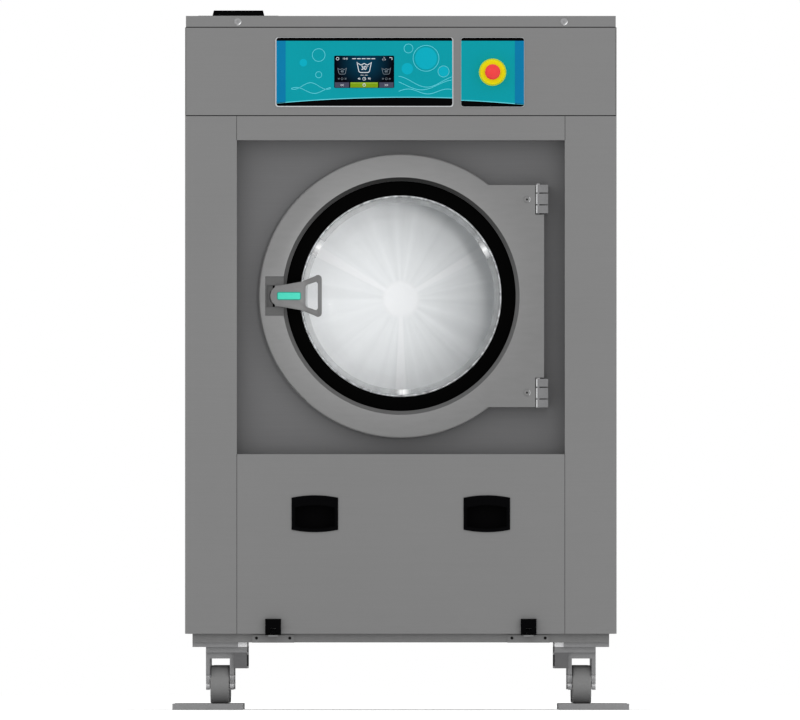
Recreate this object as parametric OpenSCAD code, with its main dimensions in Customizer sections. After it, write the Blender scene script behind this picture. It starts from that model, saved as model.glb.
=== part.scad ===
// Industrial soft-mount washing machine, as an assembly of separate parts.
// The front faces -Y, +X is to the viewer's right and +Z is up.
// The origin is on the floor, below the middle of the whole machine.
// A depth is counted from the cabinet's front face towards the back.

/* [Cabinet] */
// Width over the two side panels
cab_w = 788; // [780:1:840]
// Depth from the front face to the back of the rear panel
cab_d = 800; // [795:1:900]
// Thickness of the cabinet's sheet steel
sheet = 1.5; // [1:0.1:2]
// Width of the window that the door stands in
win_w = 599; // [594:1:610]
// Height of the window
win_h = 573.3; // [565:1:600]
// Depth of the window's side walls
win_deep = 53; // [40:1:53]
// Height of the service panel below the window
service_h = 328; // [315:1:345]
// Height of the strip above the window
bridge_h = 44.4; // [44:0.1:60]
// Height of the control fascia
fascia_h = 161.6; // [155:0.1:200]
// Height of the lid's edge
lid_h = 21; // [15:1:30]
// Radius of the folded sheet corners
fold_r = 3; // [2.5:0.1:5]

/* [Base] */
// Half the width over the base rails
base_x = 380.5; // [378:0.5:384]
// Distance of the base rails behind the cabinet's faces
base_inset = 14; // [10:1:18]
// Height of the base rails
rail_h = 50; // [45:1:55]
// Width of the side rails
rail_w = 90; // [88:1:95]
// Thickness of the rails' steel
rail_t = 4; // [3:0.5:6]
// Height of the rail that shows below the cabinet
base_show = 15.9; // [14:0.1:20]

/* [Casters and floor plates] */
// Distance of a wheel's middle from the machine's middle
caster_x = 330.8; // [329:0.1:332]
// Distance of the wheel axles from the cabinet's faces
caster_in = 75; // [70:1:110]
// Wheel radius
wheel_r = 35; // [32:0.5:37]
// Wheel width
wheel_w = 34.4; // [28:0.2:35]
// Height of the fork's top above the axle
fork_rise = 68.2; // [64:0.2:75]
// Radius of the axles
axle_r = 6; // [5:0.5:8]
// Thickness of the caster's mounting plate
mount_t = 8.4; // [6:0.2:10]
// Thickness of the floor plates
floor_t = 11.5; // [8:0.5:15]
// Width of a floor plate
floor_w = 129; // [120:1:135]
// Length of a floor plate
floor_l = 120; // [100:1:140]
// Radius of the anchor holes
anchor_r = 6.5; // [5:0.5:8]

/* [Door] */
// Outer radius of the door ring
door_r = 259.3; // [257:0.1:261]
// Distance of the door's front face behind the cabinet's front
door_in = 8; // [7:0.5:9]
// Thickness of the door ring
door_t = 30; // [29:0.5:31]
// Inner radius of the door ring
ring_in_r = 210; // [209:0.5:211]
// Radius of the glass at its front edge
glass_r = 184.2; // [182:0.1:185]
// Depth of the glass bowl
bowl_deep = 82; // [70:1:90]
// Thickness of the glass
glass_t = 5; // [4:0.5:6]
// Half the height of the door's hinge side
tab_h = 202.7; // [201:0.1:204]
// Distance of the hinge pin from the door's middle
hinge_x = 251.2; // [250.7:0.1:251.7]
// Half the distance between the two hinges
hinge_z = 177.3; // [176:0.1:178.5]
// Radius of the hinge pins
hinge_pin_r = 2.5; // [2:0.1:2.8]

/* [Door handle] */
// Distance of the handle's pivot from the door's middle
pivot_x = 222; // [221:0.5:222.5]
// Radius of the handle's pivot
pivot_r = 4; // [3:0.25:4]
// Radius of the handle's round end
handle_r = 19.4; // [18:0.1:19.4]
// Height of the grip's loop
loop_h = 76.5; // [70:0.5:80]
// Thickness of the handle
handle_t = 16; // [12:0.5:18]

/* [Drum] */
// Distance between the drum and the outer tub
drum_clear = 28.5; // [26:0.5:32]
// Room behind the drum for its cross, the bearings and the belt
rear_room = 266; // [264:1:290]
// Thickness of the drum's steel
drum_t = 1.5; // [1:0.1:2]
// Radius of the drum's mouth
mouth_r = 196; // [192:1:200]
// Inner radius of the outer tub
tub_r = 340; // [338:1:343]
// Thickness of the outer tub's steel
tub_t = 3; // [2:0.5:4]
// Distance of the tub's front plate behind the cabinet's front
plate_in = 55; // [55:0.5:58]
// Radius of the drum's shaft
shaft_r = 25; // [22:0.5:28]

/* [Drive] */
// Radius of the drum's pulley
pulley_r = 180; // [160:1:200]
// Radius of the motor's pulley
motor_pulley_r = 40; // [36:1:50]
// Width of the belt
belt_w = 25; // [18:1:28]
// Thickness of the belt
belt_t = 5; // [4:0.5:7]
// Radius of the motor over its fins
motor_r = 85; // [78:1:88]

/* [Suspension] */
// Radius of the springs' middle line
spring_r = 32; // [30:0.5:36]
// Radius of the springs' wire
wire_r = 5; // [4:0.25:5.5]
// Number of turns in a spring
spring_turns = 7; // [5:1:8]
// Distance of the springs and dampers from the machine's middle
susp_x = 320; // [318:1:324]
// Distance of the cradle's beams below the drum's axis
beam_drop = 411; // [408:1:415]
// Radius of the dampers' rods
rod_r = 6; // [5:0.5:8]
// Radius of the dampers' cylinders
damper_r = 18; // [16:0.5:20]

/* [Controls] */
// Thickness of the display and emergency-stop plates
trim_t = 2; // [1:0.5:3]
// Height of the display plate
display_h = 127; // [120:1:130]
// Width of the display plate
display_w = 325; // [318:1:328]
// Width of the emergency-stop plate
estop_w = 116; // [110:1:118]
// Radius of the emergency stop's collar
collar_r = 25; // [22:0.5:28]
// Radius of the emergency stop's head
head_r = 14; // [13:0.5:20]
// Travel of the emergency stop
press = 5; // [3:0.5:5]

/* [Service side] */
// Width of a panel pull
pull_w = 85; // [80:1:90]
// Height of a panel pull
pull_h = 67.5; // [60:0.5:75]
// Distance of the pulls from the machine's middle
pull_x = 157; // [150:1:180]
// Height of the pulls above the cabinet's lower edge
pull_rise = 219.1; // [210:0.1:225]
// Distance of the panel hinges from the machine's middle
block_x = 233.2; // [225:0.1:240]
// Width of a panel hinge's black block
block_w = 28.8; // [26:0.2:32]
// Radius of the drain outlet
drain_r = 37.5; // [35:0.5:40]
// Length of the drain outlet behind the rear panel
rear_reach = 45; // [40:1:60]
// Radius of the water inlets' threads
inlet_r = 13.2; // [10:0.1:13.5]

/* [Hidden] */

// Smoothness of round parts
fine = 128;
$fn = 48;
// Running clearance of a shaft in its bore
run = 0.05;
// Clearance between parts that pass each other
gap = 0.3;
// Gap at the cabinet's seams
seam = 0.4;
// Extra length of a cutting tool
cut = 1;

// Heights, from the floor up
axle_z = floor_t + gap + wheel_r;
fork_z = axle_z + fork_rise;
base_z0 = fork_z + mount_t;
base_z1 = base_z0 + rail_h;
cab_z0 = base_z0 + base_show;
win_z0 = cab_z0 + service_h;
win_z1 = win_z0 + win_h;
bridge_z1 = win_z1 + bridge_h;
fascia_z1 = bridge_z1 + fascia_h;
lid_z1 = fascia_z1 + lid_h;
drum_z = win_z0 + win_h / 2 + 2;

// The drum turns inside the tub, and the motor hangs below it
drum_r = tub_r - drum_clear - drum_t;
motor_drop = tub_r + tub_t + motor_r + 2;

// The emergency stop reaches furthest forward, the drain outlet furthest back
collar_h = 10;
head_rise = 8;
head_h = 20;
front_reach = trim_t + collar_h + head_rise + head_h;
y_front = (front_reach - cab_d - rear_reach) / 2;
half_w = cab_w / 2;
flange_x = win_w / 2;

// Depths of the door and of the tub group
door_back = door_in + door_t;
collar_in = plate_in - 15;
tub_d0 = plate_in + tub_t;
drum_d0 = tub_d0 + 14;
drum_d1 = cab_d - rear_room;
drum_len = drum_d1 - drum_d0;
spider_t = 26;
tub_d1 = drum_d1 + spider_t + 15;
housing_d0 = tub_d1 + 4;
housing_d1 = housing_d0 + 111;
belt_d = housing_d1 + 28;
beam_z0 = drum_z - beam_drop;
beam_h = 50;
beam_z1 = beam_z0 + beam_h;
motor_z = drum_z - motor_drop;
saddle_d0 = 140;
saddle_d1 = 440;
saddle_t = 8;
spring_d = [150, 620];
damper_d = 385;
seat_h = 12;
seat_r = spring_r - wire_r - 3;
caster_d = [caster_in, cab_d - caster_in];
display_z = bridge_z1 + fascia_h / 2 - 1.1;
display_x0 = -229;
estop_x = 167.6;
soap_x = -297;

// Drawing aids

module box(x0, x1, d0, d1, z0, z1)
    translate([x0, y_front + d0, z0]) cube([x1 - x0, d1 - d0, z1 - z0]);

module rod_x(x0, x1, d, z, r)
    translate([x0, y_front + d, z]) rotate([0, 90, 0]) cylinder(h = x1 - x0, r = r);

module rod_y(x, z, d0, d1, r)
    translate([x, y_front + d0, z]) rotate([-90, 0, 0]) cylinder(h = d1 - d0, r = r);

module rod_z(x, d, z0, z1, r)
    translate([x, y_front + d, z0]) cylinder(h = z1 - z0, r = r);

// A front view drawing, in x and z, as a plate between two depths
module front_view(d0, d1)
    translate([0, y_front + d1, 0]) rotate([90, 0, 0]) linear_extrude(d1 - d0) children();

// A side view drawing, in depth and z, as a plate between two places across
module side_view(x0, x1)
    translate([x0, y_front, 0]) rotate([90, 0, 90]) linear_extrude(x1 - x0) children();

// A top view drawing, in x and depth, as a plate between two heights
module top_view(z0, z1)
    translate([0, y_front, z0]) linear_extrude(z1 - z0) children();

// A profile in radius and depth, turned about an axis that runs front to back
module turned(x, z)
    translate([x, y_front, z]) rotate([-90, 0, 0]) rotate_extrude($fn = fine) children();

module at_drum() translate([0, 0, drum_z]) children();

// Turned about the drum's axis, anticlockwise as seen from the front
module around(angle) translate([0, 0, drum_z]) rotate([0, -angle, 0]) children();

module both_sides() {
    children();
    mirror([1, 0, 0]) children();
}

// A rectangle with round corners, by its middle and size
module round_rect(w, h, r) {
    square([w - 2 * r, h], center = true);
    square([w, h - 2 * r], center = true);
    for (sx = [-1, 1], sz = [-1, 1])
        translate([sx * (w / 2 - r), sz * (h / 2 - r)]) circle(r);
}

// A slot with round ends, by its middle and size
module slot(w, h) {
    square([w - h, h], center = true);
    for (s = [-1, 1]) translate([s * (w - h) / 2, 0]) circle(h / 2);
}

// Base

module base_side_rails() {
    color("dimgray") both_sides() difference() {
        union() {
            box(base_x - rail_w, base_x, base_inset, cab_d - base_inset, base_z0, base_z1);
            for (d = spring_d) rod_z(susp_x, d, base_z1 - rail_t, base_z1 + seat_h, seat_r);
        }
        box(base_x - rail_w - cut, base_x - rail_t, base_inset + rail_t, cab_d - base_inset - rail_t,
            base_z0 + rail_t, base_z1 - rail_t);
    }
}

module base_cross_rails() {
    half = base_x - rail_w;
    color("dimgray") for (d = [base_inset, drain_d - rail_h / 2, cab_d - base_inset - rail_h])
        difference() {
            box(-half, half, d, d + rail_h, base_z0, base_z1);
            box(-half - cut, half + cut, d + rail_t, d + rail_h - rail_t, base_z0 - cut, base_z1 - rail_t);
        }
}

// Cabinet

// A folded channel: side wall, front flange, window wall and rear flange
module side_panel() {
    rear_flange = 30;
    top_view(cab_z0, bridge_z1) {
        translate([flange_x, 0]) square([half_w - fold_r - flange_x, sheet]);
        translate([half_w - fold_r, fold_r]) intersection() {
            difference() {
                circle(fold_r);
                circle(fold_r - sheet);
            }
            translate([0, -fold_r]) square(fold_r);
        }
    }
    box(flange_x, flange_x + sheet, 0, win_deep, base_z1 + seam, bridge_z1);
    box(half_w - sheet, half_w, fold_r, cab_d - sheet, cab_z0, fascia_z1);
    box(half_w - rear_flange, half_w - sheet / 2, cab_d - 2 * sheet, cab_d - sheet, cab_z0,
        fascia_z1 - lid_h);
}

module side_panel_right() color("gray") side_panel();

module side_panel_left() color("gray") mirror([1, 0, 0]) side_panel();

module rear_panel() {
    half = half_w - sheet / 2;
    vent_w = 120;
    vent_h = 6;
    vent_step = 16;
    gland_x = 300;
    gland_z = fascia_z1 - 120;
    color("gray") difference() {
        union() {
            box(-half, half, cab_d - sheet, cab_d, cab_z0, fascia_z1 - seam);
            turned(gland_x, gland_z) polygon([[0, cab_d - 12], [16, cab_d - 12], [16, cab_d + 5],
                [13, cab_d + 8], [13, cab_d + 20], [10, cab_d + 24], [0, cab_d + 24]]);
        }
        turned(gland_x, gland_z) translate([0, cab_d - 14]) square([6.5, 50]);
        rod_y(drain_x, drain_z, cab_d - 10, cab_d + 10, drain_r + cut);
        for (x = inlet_xs) rod_y(x, inlet_z, cab_d - 10, cab_d + 10, inlet_r + cut);
        for (sx = [-1, 1], k = [0 : 13])
            translate([sx * 170, 0, bridge_z1 - 130 - k * vent_step]) front_view(cab_d - 10, cab_d + 10)
                slot(vent_w, vent_h);
    }
}

module top_lid() {
    half = half_w - sheet;
    z0 = fascia_z1 + seam / 2;
    color("gray") difference() {
        union() {
            side_view(-half, half) {
                translate([fold_r, z0]) square([cab_d - fold_r, lid_z1 - z0]);
                translate([0, z0]) square([cab_d, lid_z1 - z0 - fold_r]);
                translate([fold_r, lid_z1 - fold_r]) circle(fold_r);
            }
        }
        box(-half + sheet, half - sheet, sheet, cab_d - sheet, z0 - cut, lid_z1 - sheet);
        box(soap_x - hopper_w / 2 - gap, soap_x + hopper_w / 2 + gap, hopper_d0 - gap, hopper_d1 + gap,
            lid_z1 - 5, lid_z1 + cut);
    }
}

module control_fascia() {
    half = half_w - sheet - gap;
    z0 = bridge_z1 + seam;
    z1 = fascia_z1 - seam / 2;
    fold = 25;
    color("gray") difference() {
        union() {
            box(-half, half, 0, sheet, z0, z1);
            box(-half, half, 0, fold, z0, z0 + sheet);
            box(-half, half, 0, fold, z1 - sheet, z1);
        }
        rod_y(estop_x, display_z, -cut, 10, barrel_r + gap);
    }
}

module front_bridge() {
    color("gray") {
        box(-flange_x, flange_x, 0, sheet, win_z1, bridge_z1);
        box(-flange_x, flange_x, 0, win_deep, win_z1, win_z1 + sheet);
    }
}

// Controls

module display_panel()
    color("teal") translate([display_x0 + display_w / 2, 0, display_z])
        front_view(-trim_t, 0) round_rect(display_w, display_h, 5);

module touch_screen() {
    screen_w = 109.4;
    screen_h = 58.8;
    color("midnightblue") translate([-66.9, 0, display_z + 0.7])
        front_view(-trim_t - 0.8, -trim_t) round_rect(screen_w, screen_h, 2);
}

module estop_panel()
    color("teal") difference() {
        translate([estop_x, 0, display_z]) front_view(-trim_t, 0) round_rect(estop_w, display_h, 5);
        rod_y(estop_x, display_z, -trim_t - cut, cut, barrel_r + gap);
    }

stem_r = 10;
barrel_r = 13;
block_d0 = 22;
block_d1 = 62;

// The yellow collar with its threaded barrel and the contact block behind
module estop_collar() {
    block_half = 20;
    color("gold") difference() {
        union() {
            turned(estop_x, display_z) {
                polygon([[0, -trim_t], [collar_r, -trim_t], [collar_r - 3, -trim_t - collar_h],
                    [0, -trim_t - collar_h]]);
                translate([0, -trim_t]) square([barrel_r, block_d0 + trim_t + cut]);
            }
            box(estop_x - block_half, estop_x + block_half, block_d0, block_d1,
                display_z - block_half, display_z + block_half);
        }
        rod_y(estop_x, display_z, -trim_t - collar_h - cut, stem_d1 + press + 2, stem_r + run);
    }
}

stem_d1 = 28;
stem_d0 = -trim_t - collar_h - head_rise;
spigot_r = 6;
spigot_h = 10;

module estop_stem() {
    color("firebrick") turned(estop_x, display_z) {
        translate([0, stem_d0]) square([stem_r, stem_d1 - stem_d0]);
        translate([0, stem_d0 - spigot_h]) square([spigot_r, spigot_h + cut]);
    }
}

module estop_head() {
    dome_r = 18;
    color("red") turned(estop_x, display_z) difference() {
        intersection() {
            translate([0, stem_d0 - head_h]) square([head_r, head_h]);
            translate([0, stem_d0 - head_h + dome_r * head_r / 14]) circle(dome_r * head_r / 14);
        }
        translate([0, stem_d0 - spigot_h - gap]) square([spigot_r + run, spigot_h + gap + cut]);
    }
}

// Soap box

hopper_w = 130;
hopper_d0 = 74;
hopper_d1 = 262;
hopper_z0 = lid_z1 - 118;
hopper_t = 2.5;
soap_flange_t = 1.5;
soap_flange_w = 146;
soap_lid_w = 95;
soap_lid_h = 9.8;
soap_lid_d0 = 88;
soap_lid_d1 = 232;
soap_pin_d = 241;
soap_pin_z = lid_z1 + soap_flange_t + 5;
soap_pin_r = 2;
fill_x = soap_x + 45;
fill_d = 165;
fill_r = 20;

module soap_box() {
    mouth_w = soap_lid_w - 11;
    ear_x = 30;
    z1 = lid_z1 + soap_flange_t;
    color([0.06, 0.06, 0.06]) difference() {
        union() {
            box(soap_x - hopper_w / 2, soap_x + hopper_w / 2, hopper_d0, hopper_d1, hopper_z0, z1);
            box(soap_x - soap_flange_w / 2, soap_x + soap_flange_w / 2, hopper_d0 - 14, hopper_d1 + 12,
                lid_z1, z1);
            for (s = [-1, 1]) {
                side_view(soap_x + s * ear_x - 3, soap_x + s * ear_x + 3) {
                    translate([soap_pin_d, soap_pin_z]) circle(3.7);
                    translate([soap_pin_d - 3.7, lid_z1]) square([7.4, soap_pin_z - lid_z1]);
                }
            }
            rod_x(soap_x - ear_x, soap_x + ear_x, soap_pin_d, soap_pin_z, soap_pin_r);
            rod_z(fill_x, fill_d, hopper_z0 - 22, hopper_z0 + cut, fill_r);
        }
        box(soap_x - hopper_w / 2 + hopper_t, soap_x + hopper_w / 2 - hopper_t, hopper_d0 + hopper_t,
            hopper_d1 - hopper_t, hopper_z0 + hopper_t, lid_z1 - hopper_t);
        box(soap_x - mouth_w / 2, soap_x + mouth_w / 2, soap_lid_d0 + 6, soap_lid_d1 - 6,
            lid_z1 - 2 * hopper_t, z1 + cut);
        rod_z(fill_x, fill_d, hopper_z0 - 23, hopper_z0 + 2 * hopper_t, fill_r - 3);
    }
}

module soap_lid() {
    z0 = lid_z1 + soap_flange_t + gap;
    z1 = z0 + soap_lid_h;
    top_w = soap_lid_w - 5;
    knuckle_r = 3.7;
    knuckle_x = 24;
    color([0.06, 0.06, 0.06]) difference() {
        union() {
            intersection() {
                translate([soap_x, 0, 0]) front_view(soap_lid_d0, soap_lid_d1)
                    polygon([[-soap_lid_w / 2, z0], [soap_lid_w / 2, z0], [top_w / 2, z1], [-top_w / 2, z1]]);
                side_view(soap_x - soap_lid_w, soap_x + soap_lid_w) polygon([[soap_lid_d0, z0],
                    [soap_lid_d1, z0], [soap_lid_d1 - 3, z1], [soap_lid_d0 + 3, z1]]);
            }
            side_view(soap_x - knuckle_x, soap_x + knuckle_x) {
                translate([soap_pin_d, soap_pin_z]) circle(knuckle_r);
                translate([soap_lid_d1 - 4, soap_pin_z]) square([soap_pin_d - soap_lid_d1 + 4, knuckle_r]);
            }
        }
        box(soap_x - top_w / 2 + 4, soap_x + top_w / 2 - 4, soap_lid_d0 + 6, soap_lid_d1 - 8,
            z0 - cut, z1 - 2.5);
        rod_x(soap_x - knuckle_x - cut, soap_x + knuckle_x + cut, soap_pin_d, soap_pin_z, soap_pin_r + run);
    }
}

// Service panel

panel_pin_d = -6;
panel_pin_z = cab_z0 + 3.7;
panel_pin_r = 2.5;
knuckle_r = 5.5;
knuckle_w = 9;
notch_w = 9.6;
block_r = 6;
block_h = 29.5;

module hinge_brackets() {
    plate_w = 77;
    plate_t = 3;
    shelf_z1 = panel_pin_z - block_r - gap;
    color("gray") both_sides() translate([block_x, 0, 0]) {
        box(-plate_w / 2, plate_w / 2, base_inset - plate_t, base_inset, base_z0 - 0.5, shelf_z1);
        box(-knuckle_w, knuckle_w, 2 * panel_pin_d, base_inset, shelf_z1 - plate_t, shelf_z1);
        box(-knuckle_w / 2, knuckle_w / 2, 2 * panel_pin_d, -0.5, shelf_z1 - plate_t, panel_pin_z);
        rod_x(-knuckle_w / 2, knuckle_w / 2, panel_pin_d, panel_pin_z, knuckle_r);
        rod_x(-block_w / 2 + 0.5, block_w / 2 - 0.5, panel_pin_d, panel_pin_z, panel_pin_r);
    }
}

module panel_hinge_blocks() {
    color([0.05, 0.05, 0.05]) both_sides() translate([block_x, 0, 0]) difference() {
        side_view(-block_w / 2, block_w / 2) {
            translate([panel_pin_d, panel_pin_z]) circle(block_r);
            translate([panel_pin_d - block_r, panel_pin_z]) square([2 * block_r, block_h - block_r - 2]);
            translate([panel_pin_d - block_r + 2, panel_pin_z]) square([2 * block_r - 2, block_h - block_r]);
            translate([panel_pin_d - block_r + 2, panel_pin_z + block_h - block_r - 2]) circle(2);
        }
        box(-notch_w / 2, notch_w / 2, -50, 50, panel_pin_z - 50, panel_pin_z + block_r + 0.6);
        rod_x(-block_w, block_w, panel_pin_d, panel_pin_z, panel_pin_r + run);
    }
}

// Outline of a panel pull, bowed at the top and the bottom
module pull_outline(w, h, bow) {
    arc_r = (w * w / 4 + bow * bow) / (2 * bow);
    intersection() {
        square([w, h], center = true);
        translate([0, h / 2 - arc_r]) circle(arc_r, $fn = fine);
        translate([0, arc_r - h / 2]) circle(arc_r, $fn = fine);
    }
}

pull_z = cab_z0 + pull_rise;
pull_bow = 4.5;
pull_rim = 4;
pull_deep = 26;

module service_panel() {
    half = flange_x - seam;
    fold = base_inset - 2;
    z1 = win_z0 - seam / 2;
    color("gray") difference() {
        union() {
            box(-half, half, 0, sheet, cab_z0, z1);
            for (z = [cab_z0, z1 - sheet]) box(-half, half, 0, fold, z, z + sheet);
            for (x = [-half, half - sheet]) box(x, x + sheet, 0, fold, cab_z0, z1);
        }
        both_sides() translate([pull_x, 0, pull_z]) front_view(-cut, 2 * sheet)
            pull_outline(pull_w - 2 * pull_rim + 2 * gap, pull_h - 2 * pull_rim + 2 * gap, pull_bow);
    }
}

// A recessed grip: a rim on the panel and a cup behind it with a finger lip
module panel_pulls() {
    wall = 2;
    lip = 12;
    cup_w = pull_w - 2 * pull_rim;
    cup_h = pull_h - 2 * pull_rim;
    color([0.05, 0.05, 0.05]) both_sides() translate([pull_x, 0, pull_z]) difference() {
        union() {
            front_view(-wall, 0) pull_outline(pull_w, pull_h, pull_bow);
            front_view(-wall, pull_deep) pull_outline(cup_w, cup_h, pull_bow);
        }
        front_view(wall, pull_deep - wall) pull_outline(cup_w - 2 * wall, cup_h - 2 * wall, pull_bow);
        front_view(-wall - cut, wall + cut) translate([0, -lip / 2])
            pull_outline(cup_w - 2 * wall, cup_h - 2 * wall - lip, pull_bow);
    }
}

// Casters, tie rails and floor plates

fork_half = 25.25;
arch_half = 18.3;
flange_t = 10;
flange_in = 281;

module caster_fork() {
    ear_r = 10;
    leg_z = axle_z + 17.5;
    crown_half = 45;
    arch_top = fork_z - 21;
    intersection() {
        side_view(caster_x - fork_half, caster_x + fork_half) {
            translate([0, axle_z]) circle(ear_r);
            polygon([[-ear_r, axle_z], [ear_r, axle_z], [crown_half - 8, leg_z],
                [crown_half - 8, fork_z], [8 - crown_half, fork_z], [8 - crown_half, leg_z]]);
        }
        front_view(-crown_half, crown_half) difference() {
            translate([caster_x - fork_half, 0]) square([2 * fork_half, fork_z]);
            translate([caster_x - arch_half, 0]) square([2 * arch_half, arch_top]);
        }
    }
    box(flange_in, caster_x + fork_half, -crown_half, crown_half, fork_z - flange_t, fork_z);
    box(flange_in + 16, base_x, -crown_half - 10, crown_half + 10, fork_z, base_z0);
    box(flange_in, flange_in + 16 + cut, -crown_half, crown_half, fork_z, base_z0);
}

module caster_forks()
    color("darkgray") both_sides() for (d = caster_d) translate([0, d, 0]) difference() {
        caster_fork();
        rod_x(caster_x - 50, caster_x + 50, 0, axle_z, axle_r);
    }

// Riveted axles, flush with the forks
module axle_pins()
    color("silver") both_sides() for (d = caster_d)
        rod_x(caster_x - fork_half, caster_x + fork_half, d, axle_z, axle_r);

module wheel(x, d) {
    edge_r = 3.5;
    tread = 9;
    hub_r = axle_r + 6;
    side_deep = 4;
    translate([x, y_front + d, axle_z]) rotate([0, 90, 0]) rotate_extrude($fn = fine) difference() {
        union() {
            translate([0, -wheel_w / 2]) square([wheel_r - edge_r, wheel_w]);
            translate([0, edge_r - wheel_w / 2]) square([wheel_r, wheel_w - 2 * edge_r]);
            for (s = [-1, 1]) translate([wheel_r - edge_r, s * (wheel_w / 2 - edge_r)]) circle(edge_r);
        }
        translate([0, -wheel_w]) square([axle_r + run, 2 * wheel_w]);
        for (s = [-1, 1]) translate([(hub_r + wheel_r - tread) / 2, s * wheel_w / 2])
            square([wheel_r - tread - hub_r, 2 * side_deep], center = true);
    }
}

module wheel_front_left() color("dimgray") wheel(-caster_x, caster_d[0]);
module wheel_front_right() color("dimgray") wheel(caster_x, caster_d[0]);
module wheel_rear_left() color("dimgray") wheel(-caster_x, caster_d[1]);
module wheel_rear_right() color("dimgray") wheel(caster_x, caster_d[1]);

module tie_rails() {
    rail_deep = 29;
    wall = 4;
    d0 = caster_in - 45;
    z1 = fork_z - flange_t;
    color("dimgray") both_sides() difference() {
        box(flange_in, caster_x - fork_half, d0, cab_d - d0, z1 - rail_deep, z1);
        box(flange_in - cut, caster_x - fork_half - wall, d0 + wall, cab_d - d0 - wall,
            z1 - rail_deep + wall, z1 - wall);
    }
}

floor_x0 = caster_x - 42.3;

module floor_plates() {
    corner_r = 14;
    color("gray") both_sides() for (d = caster_d) difference() {
        top_view(0, floor_t) {
            translate([floor_x0, d - floor_l / 2]) square([floor_w - corner_r, floor_l]);
            translate([floor_x0, d - floor_l / 2 + corner_r]) square([floor_w, floor_l - 2 * corner_r]);
            for (s = [-1, 1]) translate([floor_x0 + floor_w - corner_r, d + s * (floor_l / 2 - corner_r)])
                circle(corner_r);
        }
        rod_z(floor_x0 + floor_w - 20, d, -cut, floor_t + cut, anchor_r);
    }
}

// Water

inlet_z = fascia_z1 - 72;
inlet_xs = [-250, -180, -110];
drain_x = -150;
drain_d = 250;
drain_z = base_z1 + 52;
drain_top = drain_z + 110;
spigot = 34;

module inlet_valves() {
    pipe_r = 12;
    pipe_x = soap_x - 20;
    pipe_z = inlet_z + 15;
    body_w = 38;
    back = cab_d - sheet - gap;
    color("steelblue") {
        rod_y(pipe_x, pipe_z, hopper_d1, back - 40, pipe_r);
        rod_x(pipe_x - 2 * pipe_r, inlet_xs[2] + 10, back - 40, pipe_z, pipe_r + 2);
        for (x = inlet_xs) {
            box(x - body_w / 2, x + body_w / 2, back - 45, back, inlet_z - 22, inlet_z + 22);
            rod_y(x, inlet_z, back - cut, cab_d + 28, inlet_r);
            rod_z(x, back - 22, inlet_z - 50, inlet_z, 13);
        }
    }
}

module drain_valve() {
    body_r = 45;
    wall = 3.5;
    end = cab_d + rear_reach;
    color([0.2, 0.2, 0.22]) difference() {
        union() {
            rod_z(drain_x, drain_d, drain_z - 45, drain_z + 65, body_r);
            rod_z(drain_x, drain_d, drain_z + 64, drain_top, spigot);
            rod_y(drain_x, drain_z, drain_d, end, drain_r - 2);
            rod_y(drain_x, drain_z, cab_d, end, drain_r);
            box(drain_x - 30, drain_x + 30, drain_d - 22, drain_d + 22, base_z1, drain_z - 40);
            box(drain_x - 25, drain_x + 25, cab_d - base_inset - rail_h + 2, cab_d - base_inset - 2,
                base_z1, drain_z - drain_r / 2);
            box(drain_x - 95, drain_x - 40, drain_d - 25, drain_d + 25, drain_z - 30, drain_z + 30);
        }
        rod_z(drain_x, drain_d, drain_z, drain_top + cut, spigot - wall);
        rod_y(drain_x, drain_z, drain_d + 60, end + cut, drain_r - wall);
    }
}

// A ribbed hose about an upright axis, of straight ends and round folds
module ribbed_hose(x, d, z0, z1, r, ribs) {
    wall = 2.5;
    deep = 5;
    end = 8;
    step = (z1 - z0 - 2 * end) / ribs;
    outer = concat([[r, z0], [r, z0 + end]],
        [for (k = [0 : ribs - 1], p = [[deep, 0.35], [deep, 0.65], [0, 1]])
            [r + p[0], z0 + end + (k + p[1]) * step]], [[r, z1]]);
    inner = [for (k = [len(outer) - 1 : -1 : 0]) [outer[k][0] - wall, outer[k][1]]];
    translate([x, y_front + d, 0]) rotate_extrude($fn = 64) polygon(concat(outer, inner));
}

module fill_bellows()
    color([0.1, 0.1, 0.1]) ribbed_hose(fill_x, fill_d, fill_spigot_z + gap, hopper_z0 - 22 - gap, fill_r, 3);

module drain_bellows()
    color([0.1, 0.1, 0.1]) ribbed_hose(drain_x, drain_d, drain_top + gap, drain_spigot_z - gap, spigot, 5);

// Suspension

// One spring: an unbroken tube along a helix with close turns at its ends
function turn_z(t, turns, h, tight) =
    let (loose = (h - 2 * tight) / (turns - 2))
    t < 1 ? t * tight : t > turns - 1 ? h - (turns - t) * tight : tight + (t - 1) * loose;

module spring(z0, z1) {
    rings = 8 * spring_turns;
    sides = 6;
    tight = 2 * wire_r + 1.5;
    h = z1 - z0 - 2 * wire_r;
    points = [for (i = [0 : rings], k = [0 : sides - 1])
        let (a = 45 * i, u = 360 * k / sides + 30, r = spring_r + wire_r * cos(u))
        [r * cos(a), r * sin(a), z0 + wire_r + turn_z(i / 8, spring_turns, h, tight) + wire_r * sin(u)]];
    skin = [for (i = [0 : rings - 1], k = [0 : sides - 1])
        let (a = i * sides + k, b = i * sides + (k + 1) % sides)
        each [[a, a + sides, b + sides], [a, b + sides, b]]];
    ends = [for (k = [1 : sides - 2])
        each [[0, k, k + 1], [rings * sides, rings * sides + k + 1, rings * sides + k]]];
    polyhedron(points, concat(skin, ends));
    clear = min([for (i = [0 : rings - 8]) min([for (k = [0 : sides - 1], j = [0 : sides - 1])
        norm(points[i * sides + k] - points[(i + 8) * sides + j])])]);
    echo(spring_gap = clear);
}

module springs()
    color("silver") both_sides() for (d = spring_d)
        translate([susp_x, y_front + d, 0]) spring(base_z1, beam_z0);

piston_r = 13.5;
cylinder_h = 92;

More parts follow.
